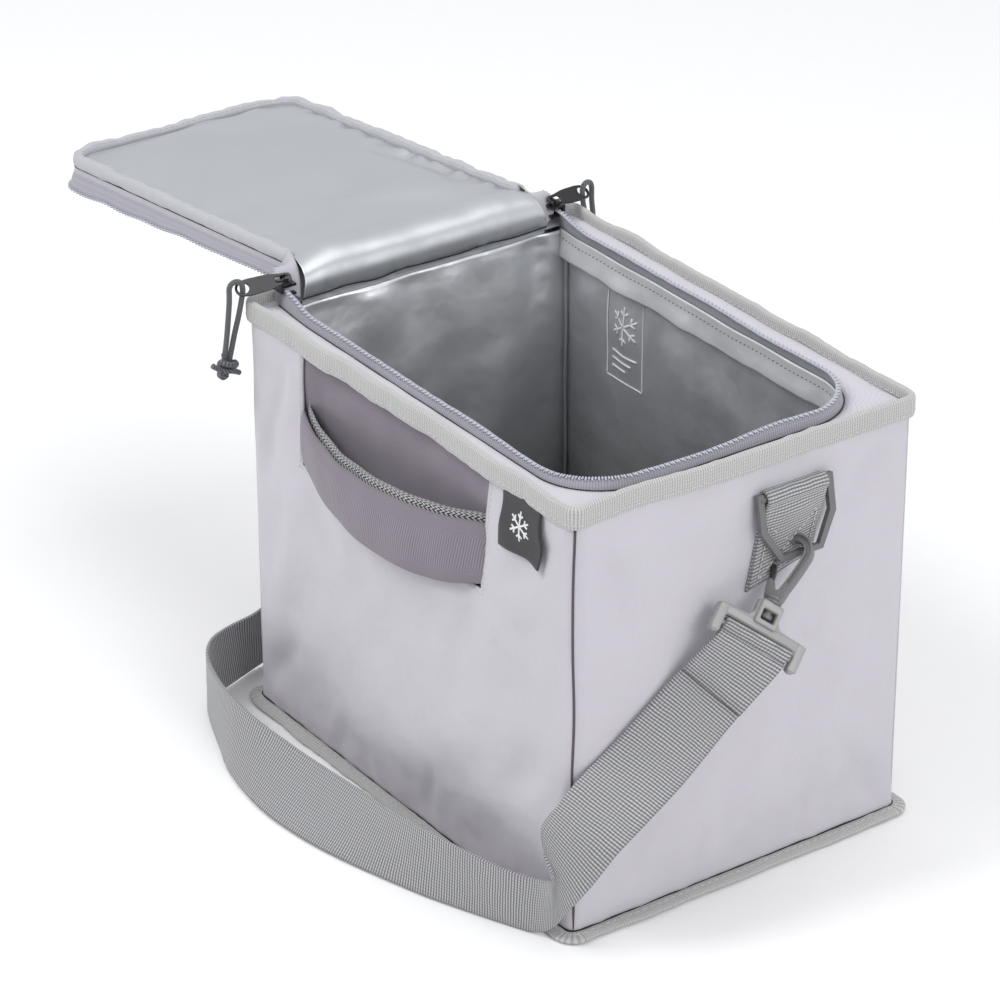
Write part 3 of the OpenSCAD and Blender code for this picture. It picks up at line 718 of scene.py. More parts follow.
def knot_lines():
    """Two wraps of cord round the doubled legs, a crossing turn, and two short tails."""
    a = np.linspace(0, 2.15 * TAU, 60)
    r = 3.5 + 0.5 * np.sin(a * 0.5)
    wraps = np.stack([r * np.cos(a), r * 0.95 * np.sin(a), 3.4 - 2.9 * a / TAU + 0.7 * np.sin(a * 1.5)], -1)
    cross = spline([(-3.0, 2.0, 3.6), (-4.6, 0.2, 1.0), (-3.6, -2.6, -1.8), (0.2, -3.9, -3.2),
                    (3.4, -1.6, -3.6), (2.6, 1.6, -4.2), (0.0, 1.2, -3.0)], 6)
    legs = [spline([(1.4, 0, 8), (1.0, 0.4, 3), (0.4, 0.2, -2)], 6),
            spline([(-1.6, 0, 8), (-1.0, -0.4, 3), (-0.4, -0.2, -2)], 6)]
    tails = [spline([(0.5, 0.8, -1.5), (3.8, 2.2, 0.2), (6.8, 3.4, 2.6), (8.4, 3.6, 4.0)], 6),
             spline([(-0.5, -0.6, -2), (-3.2, -2.4, -3.6), (-6.2, -4.4, -5.4), (-7.6, -5.4, -6.6)], 6)]
    return [wraps, cross] + legs + tails


for side in ("left", "right"):
    route = np.array([(x, 0.0, z) for x, z in CORD_ROUTE])
    wobble = 0.35 * np.sin(np.arange(len(route)) * 1.7)
    route[:, 1] = wobble * np.array([0 if 4 < i < 12 else 1 for i in range(len(route))])
    line = at_hole(spline(np.vstack([[(11.6, 0, -45.5)], route, [(10.2, 0, -45.5)]]), 5), side)
    cord = shaped("pull_cord_" + side + "_braid",
                  round_tube(line, CORD_D / 2, 12),
                  CORD, "pull_cord_" + side, ["pull_cord_" + side])
    parts = []
    for strand in knot_lines():
        tipped = np.ones(len(strand))
        tipped[[0, -1]] = 0.55
        parts.append(round_tube(at_hole(strand * 1.18 + KNOT_AT, side), CORD_D / 2, 10, swell=tipped))
    knot = shaped("cord_knot_" + side + "_tied",
                  joined(parts),
                  CORD, "pull_cord_" + side, ["cord_knot_" + side])

# ---------------------------------------------------------------- outer shell
SHELL_R = 6.0
straight = 2 * (HALF_L - SHELL_R)
knots_x = np.concatenate([
    np.linspace(-HALF_L + SHELL_R, WINDOW_X0, 16)[:-1], [WINDOW_X0],
    np.linspace(WINDOW_X0, WINDOW_X1, 48)[1:-1], [WINDOW_X1],
    np.linspace(WINDOW_X1, HALF_L - SHELL_R, 20)[1:]])
shell_xs = (knots_x + HALF_L - SHELL_R) / straight
shell_xy, shell_n, shell_side, shell_s = loop(-HALF_L, HALF_L, HALF_W, SHELL_R, SHELL_R, xs=shell_xs,
                                              ys=np.linspace(0, 1, 58), n_arc=5)
shell_z = np.concatenate([np.linspace(2.6, WINDOW_Z, 46)[:-1], [WINDOW_Z],
                          np.linspace(WINDOW_Z, 257.8, 24)[1:]])


def fold_line(p, a, b, width, height):
    """A soft crease from a to b, in a panel's own plane."""
    a, b = np.array(a, float), np.array(b, float)
    d = b - a
    t = np.clip(((p - a) @ d) / (d @ d), 0, 1)
    gap = np.linalg.norm(p - (a + t[..., None] * d), axis=-1)
    return 2.3 * height * bump_at(gap, width) * np.sin(np.pi * np.clip(t, 0.02, 0.98)) ** 0.5


FRONT_FOLDS = [((-150, 150), (-118, 232), 7, -1.6), ((-140, 60), (-95, 172), 12, 1.4),
               ((-97, 178), (-60, 130), 9, -1.2), ((79, 178), (50, 120), 10, -1.3),
               ((84, 175), (120, 150), 8, 1.2), ((90, 60), (148, 110), 12, -1.2),
               ((-60, 30), (40, 60), 16, 1.0), ((-150, 20), (-110, 60), 8, -1.4),
               ((146, 236), (100, 190), 8, -1.2), ((20, 8), (35, 50), 6, -1.0), ((-80, 8), (-60, 44), 6, 1.0)]
END_FOLDS = [((-108, 240), (-80, 180), 8, -1.3), ((100, 244), (60, 200), 9, -1.4),
             ((-100, 20), (-60, 60), 9, -1.2), ((104, 12), (70, 60), 8, -1.3),
             ((-30, 8), (-20, 40), 6, 0.9), ((40, 8), (52, 44), 6, -0.9)]


def panel_swell(side, s, z):
    """How far a panel stands out from the box at a place on it."""
    side, s, z = np.broadcast_arrays(side, s, z)
    t = np.clip((z - 2) / 256, 0, 1)
    long_side, end_side, on_panel = (side == 0) | (side == 2), (side == 1) | (side == 3), side < 4
    length = np.where(long_side, 2 * HALF_L, 2 * HALF_W)
    arch = (np.clip(np.sin(np.pi * s), 0, 1) ** 0.55) * (np.clip(np.sin(np.pi * t), 0, 1) ** 0.5)
    most = np.where(long_side, 5.4, 3.4)
    out = np.where(on_panel, most * arch, 0.0)
    across = (s - 0.5) * length
    place = np.stack([across + 1000 * side, z], -1)
    inset = np.clip(np.minimum(s, 1 - s) * length / 14, 0, 1)
    edge = np.clip(np.minimum(z - 2, 258 - z) / 14, 0, 1)
    mask = np.where(on_panel, inset * edge, 0)
    out = out + mask * (1.25 * ripple(place, 3, 95) + 0.62 * ripple(place, 4, 38))
    puckered = inset * (1 - smooth((z - 4) / 46)) + inset * smooth((z - 216) / 30) * 0.7
    near_edge = np.where(on_panel, puckered, 0)
    squeezed = np.stack([place[..., 0], place[..., 1] * 0.35], -1)
    out = out + near_edge * 0.6 * ripple(squeezed, 5, 15)
    panel_place = np.stack([across, z], -1)
    for folds, here in ((FRONT_FOLDS, long_side), (END_FOLDS, end_side)):
        for fold in folds:
            out = out + np.where(here, fold_line(panel_place, *fold), 0) * mask
    return out * (1 - smooth((z - 226) / 19)) * smooth((z + 4) / 22)


count, rows = len(shell_xy), len(shell_z)
xy = np.repeat(shell_xy[:, None], rows, 1)
nrm = np.repeat(shell_n[:, None], rows, 1)
z = np.repeat(shell_z[None], count, 0)
side_of = np.repeat(shell_side[:, None], rows, 1)
s_of = np.repeat(shell_s[:, None], rows, 1)
swell_mm = panel_swell(side_of, s_of, z)
window_dist = np.maximum.reduce([WINDOW_X0 - xy[..., 0], xy[..., 0] - WINDOW_X1, WINDOW_Z - z])
on_long = (side_of == 0) | (side_of == 2)
near_window = on_long & (window_dist < 14)
calmed = swell_mm * (0.55 + 0.45 * smooth(np.clip(window_dist, 0, 14) / 14))
swell_mm = np.where(near_window, calmed, swell_mm)
swell_mm = swell_mm + np.where(side_of >= 4, -0.9, 0.0) * smooth((z - 2) / 20)
slant = np.where(on_long & (np.abs(xy[..., 0] - WINDOW_X1) < 14) & (z > WINDOW_Z - 10),
                 (z - 215) * 0.075 * (1 - np.abs(xy[..., 0] - WINDOW_X1) / 14), 0)
points = np.stack([xy[..., 0] + nrm[..., 0] * swell_mm + slant, xy[..., 1] + nrm[..., 1] * swell_mm, z], -1)


def in_window(i, j):
    """Whether a face of the shell lies in a hand opening."""
    if shell_side[i] not in (0, 2) or shell_side[(i + 1) % count] not in (0, 2):
        return False
    mid = (shell_xy[i, 0] + shell_xy[(i + 1) % count, 0]) / 2
    return WINDOW_X0 < mid < WINDOW_X1 and (shell_z[j] + shell_z[j + 1]) / 2 > WINDOW_Z


covered = [kind + end for kind in ("outer_panel_", "foam_") for end in SIDES] + ["foam_base", "base_board"]
shell = sheet("outer_shell", points, FABRIC, "body", "body_fabric", covered, 1.1, -1.0, True,
              wrap_u=True, us=lengths(shell_xy, True), vs=shell_z, skip=in_window)

seam_parts = []
for k, (cx, cy) in enumerate(CORNERS):
    zs = np.arange(3.5, 249, 3.0)
    out = unit(np.array([cx, cy, 0]))
    base = np.array([cx * (HALF_L - SHELL_R), cy * (HALF_W - SHELL_R), 0])
    sway = 0.5 * ripple(zs[:, None] * [1.0, 0.3], 20 + k, 60)
    line = base + out * (SHELL_R - 0.8) + np.stack([sway * -cy, sway * cx, zs], -1)
    seam_parts.append(round_tube(line, 0.75 if k == 0 else 0.4, 6))
shaped("corner_seam_thread", seam_parts[0], DARK_THREAD, "body")
shaped("corner_seam_piping", joined(seam_parts[1:]), FABRIC, "body")

# Window edge stitching and the pocket behind each hand opening
for sign, where in ((-1, "front"), (1, "back")):
    edge = np.vstack([[(WINDOW_X0 - 2.6, high) for high in np.linspace(247, WINDOW_Z - 2.4, 20)],
                      [(along, WINDOW_Z - 2.6) for along in np.linspace(WINDOW_X0, WINDOW_X1, 50)],
                      [(WINDOW_X1 + 2.6 + (high - 215) * 0.075, high)
                       for high in np.linspace(WINDOW_Z - 2, 247, 20)]])
    outside = np.stack([edge[:, 0], np.full(len(edge), sign * 160.0), edge[:, 1]], -1)
    line = onto(shell, outside, (0, -sign, 0), 0.05)
    shaped("window_stitches_" + where,
           stitch_run(line, np.array([0, sign, 0.0]), 2.2, 1.2, 0.26, 0.02),
           THREAD, "body")

    xs = np.linspace(WINDOW_X0 - 3, WINDOW_X1 + 6, 60)
    zs = np.linspace(WINDOW_Z - 3, 252, 30)
    gx, gz = np.meshgrid(xs, zs, indexing="ij")
    inward = np.minimum.reduce([gx - xs[0], xs[-1] - gx, gz - zs[0]])
    depth = 1.6 + 4.4 * smooth(inward / 16) + 0.5 * ripple(np.stack([gx, gz], -1), 31, 40)
    pts = np.stack([gx, sign * (HALF_W - depth), gz], -1)
    sheet("recess_lining_" + where, pts, TWILL, "body", "twill", ["recess_panel_" + where], 0.8, fix=True,
          us=xs, vs=zs)

# ---------------------------------------------------------------- rim: binding and border
RIM_OUTER = [(1.5, 247.4), (1.9, 249.4), (1.9, 257.4), (1.3, 259.2), (-0.3, 260.2), (-1.9, 259.3),
             (-2.6, 257.6), (-3.0, 252.4)]
RIM_INNER = [(-2.0, 252.4), (-1.6, 257.2), (-1.1, 258.5), (-0.3, 259.0), (0.5, 258.4), (0.8, 257.2),
             (0.8, 249.4), (0.4, 247.4)]


def wavy(path, seed, big, small):
    points = flat3(path, 0.0)
    return big * ripple(points, seed, 46) + small * ripple(points, seed + 1, 9)


def ring(name, xy, nrm, profile, hides):
    """A band of binding round the box."""
    shaped(name, swept(flat3(xy, 0.0), flat3(nrm, 0.0), UP, profile, True), BINDING, "body", hides,
           crease=70)


rim_xy, rim_n, _, _ = loop(-HALF_L, HALF_L, HALF_W, 5.5, 5.5, xs=np.linspace(0, 1, 120),
                           ys=np.linspace(0, 1, 86), n_arc=5)
rim_sway = 0.8 * wavy(rim_xy, 40, 1.0, 0.22)
rim_lift = 0.9 * wavy(rim_xy, 44, 1.0, 0.22)
profile = copies(RIM_OUTER + RIM_INNER, rim_xy)
profile[..., 0] += rim_sway[:, None]
profile[..., 1] += rim_lift[:, None]
low_wave = 0.25 * wavy(rim_xy, 48, 0.8, 0.5)
profile[:, [0, -1], 1] += low_wave[:, None]
ring("rim_binding_tape", rim_xy, rim_n, profile, ["rim_binding"])
rim_out3 = flat3(rim_n, 0.0)
outer_line = flat3(rim_xy, 250.2 + rim_lift) + rim_out3 * (1.9 + rim_sway)[:, None]
inner_line = flat3(rim_xy, 254.2 + rim_lift) - rim_out3 * (2.9 - rim_sway)[:, None]
rows_of_thread = [stitch_run(line, way, 3.0, 1.4, 0.36, 0.05, True)
                  for line, way in ((outer_line, rim_out3), (inner_line, -rim_out3))]
shaped("rim_stitches", joined(rows_of_thread), THREAD, "body")

ZIP_END, ZIP_HALF, ZIP_ROUND = 142.0, 95.0, 38.0


def zip_shift(xy):
    """The zip runs a little nearer the front than the back."""
    moved = np.array(xy, float)
    moved[..., 1] -= 2.6 * smooth((moved[..., 0] + 148) / 36)
    return moved


def zip_drop(xy):
    """How far the zip sinks below the sliders' height as it leaves the hinge."""
    front = smooth((40 - xy[..., 1]) / 80)
    return (3.2 + 1.8 * front) * smooth((xy[..., 0] + 146) / 40)


outer_xy = loop(-HALF_L + 2.2, HALF_L - 2.2, HALF_W - 2.2, 4, 4, n_arc=10)[0]
inner_xy = zip_shift(loop(-144.0, ZIP_END + 0.8, ZIP_HALF + 0.8, 1.5, ZIP_ROUND + 0.8, n_arc=10)[0])
levels = np.linspace(0, 1, 8)
strip = outer_xy[:, None] * (1 - levels[None, :, None]) + inner_xy[:, None] * levels[None, :, None]
strip_z = 253.4 - 0.6 * levels[None] + 1.0 * np.sin(np.pi * levels)[None] + \
    0.5 * ripple(np.concatenate([strip, strip[..., :1] * 0], -1), 52, 34) * np.sin(np.pi * levels)[None]
pts = np.concatenate([strip, strip_z[..., None]], -1)
sheet("rim_border_fabric", pts, FABRIC, "body", "body_fabric", ["rim_border"], 0.9, -1.0, True,
      wrap_u=True, us=lengths(outer_xy, True), vs=levels * 16)

# ---------------------------------------------------------------- base: fabric and binding
base_xy, base_n, _, _ = loop(-HALF_L, HALF_L, HALF_W, 5.0, 5.0, xs=np.linspace(0, 1, 124),
                             ys=np.linspace(0, 1, 90), n_arc=6)
BASE_EDGE = [(-0.6, 0.25), (5.5, 0.15), (7.4, 0.5), (8.1, 1.5), (7.5, 2.6), (5.6, 3.1), (1.4, 3.5),
             (-0.6, 3.7)]
base_sway = 0.7 * wavy(base_xy, 60, 1.0, 0.35)
profile = copies(BASE_EDGE, base_xy)
profile[:, 1:-1, 0] += base_sway[:, None]
base_lift = 0.5 * np.abs(wavy(base_xy, 64, 1.0, 0.5))
profile[:, 3:, 1] += base_lift[:, None]
profile[:, :3, 1] += 0.5 * base_lift[:, None]
ring("base_binding_tape", base_xy, base_n, profile, ["base_binding"])
base_out3 = flat3(base_n, 0.0)
line = flat3(base_xy, 3.35 + base_lift) + base_out3 * (3.0 + base_sway * 0.6)[:, None]
shaped("base_stitches", stitch_run(line, UP, 3.4, 1.5, 0.36, 0.1, True), THREAD, "body")
shaped("base_seam_shadow",
       swept(flat3(base_xy, 4.0), base_out3, UP, circle(0.7, 6) * [0.8, 1.0], True),
       PAINTED_SHADE, "body")
bx, by = np.meshgrid(np.linspace(-HALF_L + 1, HALF_L - 1, 60), np.linspace(-HALF_W + 1, HALF_W - 1, 44),
                     indexing="ij")
bz = 0.35 + 0.5 * np.abs(ripple(np.stack([bx, by], -1), 70, 70)) * smooth(
    np.minimum(HALF_L - 1 - np.abs(bx), HALF_W - 1 - np.abs(by)) / 20)
faces, uv = grid(60, 44)
under = piece("base_underside", np.stack([bx, by, bz], -1), faces, BASE_FABRIC, "body",
              ["outer_base"])
thicken(under, 0.8, 1.0)

# ---------------------------------------------------------------- zip: tape and coil
COIL_PITCH, TOOTH_R = 1.7, 0.66


def capsule(a, b, r, sides):
    """A short round-ended rod from a to b."""
    d = unit(b - a)
    line = np.array([a - d * r * 0.85, a - d * r * 0.45, a, b, b + d * r * 0.45, b + d * r * 0.85])
    scale = np.array([0.45, 0.85, 1, 1, 0.85, 0.45])
    return round_tube(line, r, sides, swell=scale)


def coil_run(path, out, half):
    """Zip coil: one small rounded tooth at a time, set across the tape."""
    s = lengths(path)
    parts = []
    for n, a in enumerate(np.arange(COIL_PITCH, s[-1] - COIL_PITCH, COIL_PITCH)):
        p, o = (np.array([np.interp(a, s, q[:, k]) for k in range(3)]) for q in (path, out))
        o = unit(o)
        lean = 0.35 if n % 2 else -0.35
        parts.append(capsule(p - o * half, p + o * half + UP * lean, TOOTH_R, 6))
    return joined(parts)


zip_xy, zip_n = u_line(-151.0, ZIP_END, ZIP_HALF, ZIP_ROUND, 3.0)
drop = zip_drop(zip_xy)
zip_xy = zip_shift(zip_xy)
zip_out = flat3(zip_n, 0.0)
zip_sway = 0.6 * ripple(zip_xy, 81, 70) + 0.15 * ripple(zip_xy, 82, 14)
zip_lift = 0.6 * ripple(zip_xy, 83, 90) - drop
TAPE = [(1.3, 252.0), (1.1, 253.6), (0.8, 256.4), (0.2, 259.4), (-0.6, 262.5), (-1.3, 262.4),
        (-0.6, 259.2), (0.0, 256.2), (0.3, 253.4), (0.5, 252.0)]
profile = copies(TAPE, zip_xy)
height = (profile[..., 1] - 252) / 10.5
profile[..., 0] += zip_sway[:, None] * height
profile[..., 1] += zip_lift[:, None] * height
shaped("body_zip_tape_woven",
       swept(flat3(zip_xy, 0.0), zip_out, UP, profile),
       ZIP_TAPE, "body", ["body_zip_tape"], crease=60)
coil_line = flat3(zip_xy, 263.1 + zip_lift) + zip_out * (-1.3 + zip_sway)[:, None]
shaped("body_zip_teeth", coil_run(coil_line, zip_out, 0.95), COIL, "body", ["body_zip_coil"])
base_line = flat3(zip_xy, 253.3) + zip_out * 1.6
shaped("zip_seam_shadow", round_tube(base_line, 0.3, 6), PAINTED_SHADE, "body")

# ---------------------------------------------------------------- foil lining
LIN_X, LIN_Y, LIN_R = 140.6, 98.0, 3.0


def lining_push(side, s, z):
    """How far the foil stands into the cavity at a place on its wall."""
    side, s, z = np.broadcast_arrays(side, s, z)
    length = np.where((side == 0) | (side == 2), 2 * LIN_X, 2 * LIN_Y)
    across = (s - 0.5) * length
    wall = side < 4
    t = np.clip((z - 16) / 234, 0, 1)
    arch = np.clip(np.sin(np.pi * s), 0, 1) ** 0.5 * np.clip(np.sin(np.pi * t), 0, 1) ** 0.45
    inset = smooth(np.minimum(s, 1 - s) * length / 18)
    place = np.stack([across + 900 * side, z * 0.55], -1)
    stretched = np.stack([across + 500 * side, z * 0.22], -1)
    slanted = np.stack([across * 0.5 + z * 0.8, across * 0.25 - z * 0.2 + 700 * side], -1)
    top = smooth((z - 150) / 90)
    out = 3.2 * arch + inset * (1.15 * ripple(place, 91, 60) + (0.25 + 0.75 * top) * ripple(stretched, 92, 22)
                                + 0.5 * ripple(slanted, 93, 26))
    out = out + np.where(side == 3, inset * (0.5 + 0.8 * top) * ripple(stretched, 94, 34), 0)
    near_seam = 1 - smooth(np.minimum(s, 1 - s) * length / 26)
    out = out + near_seam * inset * 0.55 * ripple(np.stack([across * 0.2 + 300 * side, z], -1), 95, 13)
    return np.where(wall, out, -0.6)


lin_xy, lin_n, lin_side, lin_s = loop(-LIN_X, LIN_X, LIN_Y, LIN_R, LIN_R, xs=np.linspace(0, 1, 90),
                                      ys=np.linspace(0, 1, 66), n_arc=4)
lin_z = np.concatenate([np.linspace(15.4, 190, 52)[:-1], np.linspace(190, 251.5, 30)])
push = lining_push(lin_side[:, None], lin_s[:, None], lin_z[None]) * (1 - 0.8 * smooth((lin_z - 244) / 8))
pts = np.stack([lin_xy[:, None, 0] - lin_n[:, None, 0] * push, lin_xy[:, None, 1] - lin_n[:, None, 1] * push,
                np.repeat(lin_z[None], len(lin_xy), 0)], -1)
walls = sheet("foil_lining_walls", pts, FOIL, "body", "foil_lining", ["lining_" + end for end in SIDES],
              0.5, 1.0, wrap_u=True, us=lengths(lin_xy, True), vs=lin_z)
gx, gy = np.meshgrid(np.linspace(-LIN_X + 0.4, LIN_X - 0.4, 80), np.linspace(-LIN_Y + 0.4, LIN_Y - 0.4, 58),
                     indexing="ij")
inset = np.minimum(LIN_X - np.abs(gx), LIN_Y - np.abs(gy))
gz = 15.6 + smooth(inset / 30) * (1.4 + 0.9 * ripple(np.stack([gx, gy], -1), 97, 60)
                                  + 0.35 * ripple(np.stack([gx, gy], -1), 98, 20))
faces, uv = grid(80, 58)
ground = piece("foil_lining_floor", np.stack([gx, gy, gz], -1), faces, FOIL, "body",
               ["lining_base"])
thicken(ground, 0.5, -1.0)
seams = []
for cx, cy in CORNERS:
    zs = np.arange(17, 250, 4.0)
    sway = 0.5 * ripple(zs[:, None] * [1.0, 0.4], 101 + cx * 2 + cy, 40)
    line = np.stack([cx * (LIN_X - 1.2) + sway * cy * 0.5, cy * (LIN_Y - 1.2) - sway * cx * 0.5, zs], -1)
    seams.append(round_tube(line, 1.0, 8))
shaped("foil_corner_seams", joined(seams), FOIL, "body")

flap_xy, flap_n = u_line(-140.5, ZIP_END, ZIP_HALF, ZIP_ROUND, 3.0)
flap_xy = zip_shift(flap_xy)
flap_z = np.linspace(236.0, 253.5, 14)
hang = smooth((249 - flap_z) / 12)
flap_wave = 0.6 * ripple(flap_xy, 111, 44) + 0.3 * ripple(flap_xy, 112, 17)
flap_in = 1.5 + 1.1 * hang[None] + flap_wave[:, None] * hang[None]
pts = np.stack([flap_xy[:, None, 0] - flap_n[:, None, 0] * flap_in,
                flap_xy[:, None, 1] - flap_n[:, None, 1] * flap_in,
                flap_z[None] + 0.3 * ripple(flap_xy, 113, 60)[:, None]], -1)
sheet("foil_lining_flap", pts, LIT_FLAP_FOIL, "body", "foil_lining", ["lining_flap"], 0.5, 1.0,
      us=lengths(flap_xy), vs=flap_z)
shaped("flap_stitches",
       stitch_run(pts[:, 9], -flat3(flap_n, 0.0), 1.6, 2.0, 0.3, 0.1),
       DARK_THREAD, "body")


# ---------------------------------------------------------------- printed badge on the back wall
def flat_strip(a, b, w, steps=None):
    """A flat printed line from a to b."""
    a, b = np.array(a, float), np.array(b, float)
    d = unit(b - a)
    n = np.array([-d[1], d[0]]) * w / 2
    steps = steps or max(2, int(np.linalg.norm(b - a) / 1.5) + 1)
    line = np.linspace(a, b, steps)
    faces, uv = grid(steps, 2)
    return np.stack([line - n, line + n], 1), faces, uv


def glyph(cx, cz, r, w):
    """A plain snowflake: three bars with small side branches."""
    strips = []
    for k in range(6):
        a = math.radians(60 * k + 30)
        d = np.array([math.cos(a), math.sin(a)])
        strips.append(((cx, cz), (cx + r * d[0], cz + r * d[1])))
        for lean in (-1, 1):
            b = a + lean * math.radians(52)
            root = np.array([cx, cz]) + d * r * 0.55
            tip = root + np.array([math.cos(b), math.sin(b)]) * r * 0.32
            strips.append((tuple(root), tuple(tip)))
    return [(start, end, w) for start, end in strips]


def frame_strips(x0, x1, z0, z1, w):
    """The four lines of a printed frame."""
    corners = [(x0, z0), (x1, z0), (x1, z1), (x0, z1)]
    return [(a, b, w) for a, b in zip(corners, corners[1:] + corners[:1])]


badge_marks = frame_strips(-97, -63, 176, 233, 0.9) + glyph(-80, 212, 12.5, 1.5)
badge_marks += [((-92, high), (-68 - k * 5, high), 1.7) for k, high in enumerate((193.5, 188.5, 183.5))]
parts = []
for a, b, w in badge_marks:
    flat, faces, uv = flat_strip(a, b, w)
    parts.append((np.stack([flat[..., 0], flat[..., 0] * 0, flat[..., 1]], -1).reshape(-1, 3), faces, uv))
v, f, uv = joined(parts)
v = onto(walls, v, (0, 1, 0), 0.35)
badge = piece("care_badge_print", v, f, BADGE, "body", ["care_badge"], uv, fix=False)
thicken(badge, 0.25, 0.0)


# ---------------------------------------------------------------- side label
def on_label(a, b, lift=0.0):
    """A place on the label's face, from its fractions along and up, in mm."""
    x = 95.5 + 34.0 * a + (1 - b) * 0.5
    z = 216.0 + 34.0 * b - 1.5 * a * (1 - b)
    y = -HALF_W - panel_swell(np.zeros(np.shape(a)), (x + HALF_L - SHELL_R) / straight, z) - 0.9
    y = y - (3.2 * smooth((a - 0.35) / 0.65) * (1 - b) ** 0.8 + 0.9 * np.sin(np.pi * a) * (1 - b)
             + 1.6 * smooth(a * 1.2 - 0.7) * b * (1 - smooth((b - 0.7) / 0.3)))
    return np.stack([x, y - lift, z], -1)


gx, gz = np.meshgrid(np.linspace(0, 1, 22), np.linspace(0, 1, 22), indexing="ij")
sheet("side_label_patch", on_label(gx, gz), LABEL, "body", "label", ["side_label"], 0.9,
      us=np.linspace(0, 36, 23), vs=np.linspace(0, 36, 23))
parts = []
for a, b, w in glyph(0.5, 0.5, 0.24, 0.032):
    flat, faces, uv = flat_strip(a, b, w, 6)
    parts.append((on_label(flat[..., 0], flat[..., 1], 0.57), faces, uv))
v, f, uv = joined(parts)
mark = piece("side_label_mark", v, f, BADGE, "body", uv=uv, fix=False)
thicken(mark, 0.2, 0.0)

# ---------------------------------------------------------------- padded hand bands and their webbing
band_s = np.linspace(0, 1, 72)
band_x = WINDOW_X0 - 3 + (WINDOW_X1 - WINDOW_X0 + 6) * band_s


def band_edge(at, heights):
    """An edge of the hand band: a few heights along it, eased into one another."""
    line = np.interp(band_s, at, heights)
    return np.convolve(np.pad(line, 6, mode="edge"), np.ones(13) / 13, "valid")


band_top = band_edge([0, 0.25, 0.55, 0.8, 1], [213, 208, 210, 213.5, 220])
band_low = band_edge([0, 0.1, 0.3, 0.55, 0.8, 1], [182, 178, 172.5, 170.0, 172.5, 184])


def band_shape(sign, t_mid, t_edge, top, low, offset=0.0):
    """A closed padded strip: rounded edges, thickest along its middle."""
    ring_a = np.linspace(0, TAU, 40, endpoint=False)
    square = np.sign(np.cos(ring_a)) * np.abs(np.cos(ring_a)) ** 0.35
    thick = np.sign(np.sin(ring_a)) * np.abs(np.sin(ring_a)) ** 0.6
    pts = np.zeros((len(band_s), len(ring_a), 3))
    for i, s in enumerate(band_s):
        mid, half = (top[i] + low[i]) / 2, (top[i] - low[i]) / 2
        w = t_edge + (t_mid - t_edge) * (1 - np.abs(square) ** 3)
        centre_y = 110.3 + 20 * np.clip(np.sin(np.pi * s), 0, 1) ** 0.75 + offset
        wrinkle = 0.35 * ripple(np.stack([np.full(len(ring_a), band_x[i]), square * half], -1), 121, 26)
        edge_fall = 0.9 * (square ** 2) * np.sin(np.pi * s)
        pts[i, :, 0] = band_x[i]
        pts[i, :, 1] = sign * (centre_y + thick * w / 2 + wrinkle - edge_fall)
        pts[i, :, 2] = mid + square * half
    faces, uv = grid(len(band_s), len(ring_a), wrap_v=True, us=band_x, vs=np.append((ring_a / TAU) * 90, 90))
    return pts, faces, uv


for sign, where in ((-1, "front"), (1, "back")):
    band = shaped("handle_band_padded_" + where, band_shape(sign, 6.0, 2.4, band_top, band_low), TWILL, None,
                  ["handle_band_" + where])
    braid = shaped("handle_webbing_braided_" + where,
                   band_shape(sign, 1.8, 1.6, band_top + 4.0, band_top - 24, -3.6), BRAID, None,
                   ["handle_webbing_" + where])
    for obj in (band, braid):
        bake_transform(obj)

# ---------------------------------------------------------------- lid
LID = turn("Y", -LID_TURN)
LID_X0, LID_X1, LID_W, LID_R = 20.0, 267.0, 81.0, 18.0


def lid_world(p):
    """From the lid's own frame, as if shut, to the part's."""
    return HINGE + np.asarray(p, float) @ LID.T


def on_lid(name, shape, mat, hides=(), crease=None):
    """A piece from (points, faces, UVs) in the lid's own frame."""
    verts, faces, uv = shape
    shaped(name, (lid_world(verts), faces, uv), mat, "lid", hides, crease)


def lid_grid(x0, x1, w, r, cols, height_of):
    """A sheet over the lid with round far corners: rows run across, from the hinge out."""
    turn_in = np.linspace(0, math.pi / 2, 14)
    xs = np.concatenate([np.linspace(x0, x1 - r, 72)[:-1], x1 - r + r * np.sin(turn_in)])
    half = np.concatenate([np.full(71, w), w - r + r * np.cos(turn_in)])
    spread = np.sin(np.linspace(-1, 1, cols) * math.pi / 2 * 0.86) / math.sin(math.pi / 2 * 0.86)
    x = np.repeat(xs[:, None], cols, 1)
    y = half[:, None] * spread[None]
    dx, dy = x1 - x, w - np.abs(y)
    corner = r - np.hypot(np.maximum(r - dx, 0), np.maximum(r - dy, 0))
    inset = np.where((dx < r) & (dy < r), corner, np.minimum(dx, dy))
    return np.stack([x, y, height_of(x, y, np.maximum(inset, 0))], -1)


LID_CREASES = [((40, -66), (88, 20), 13, -1.5), ((70, -30), (46, 60), 12, 1.3),
               ((215, -60), (246, 20), 14, 1.2), ((150, 60), (60, 74), 9, -1.3),
               ((240, 60), (190, 72), 8, 1.1), ((120, -74), (190, -66), 8, -1.0)]


def foil_height(x, y, inset):
    """The lid lining: puffed, puckered at its edge and creased."""
    flat = np.stack([x, y], -1)
    rise = 9.0 + 3.4 * smooth(inset / 24) ** 0.8
    rise = rise + smooth(inset / 14) * (0.8 * ripple(flat, 131, 95) + 0.35 * ripple(flat, 132, 40))
    pucker = (1 - smooth(inset / 20)) * smooth(inset / 4)
    rise = rise + pucker * (0.9 * ripple(flat * [1, 0.4], 133, 15) * (0.6 + 0.8 * (y > 0)))
    for crease in LID_CREASES:
        rise = rise + fold_line(flat, *crease) * smooth(inset / 12)
    return -rise


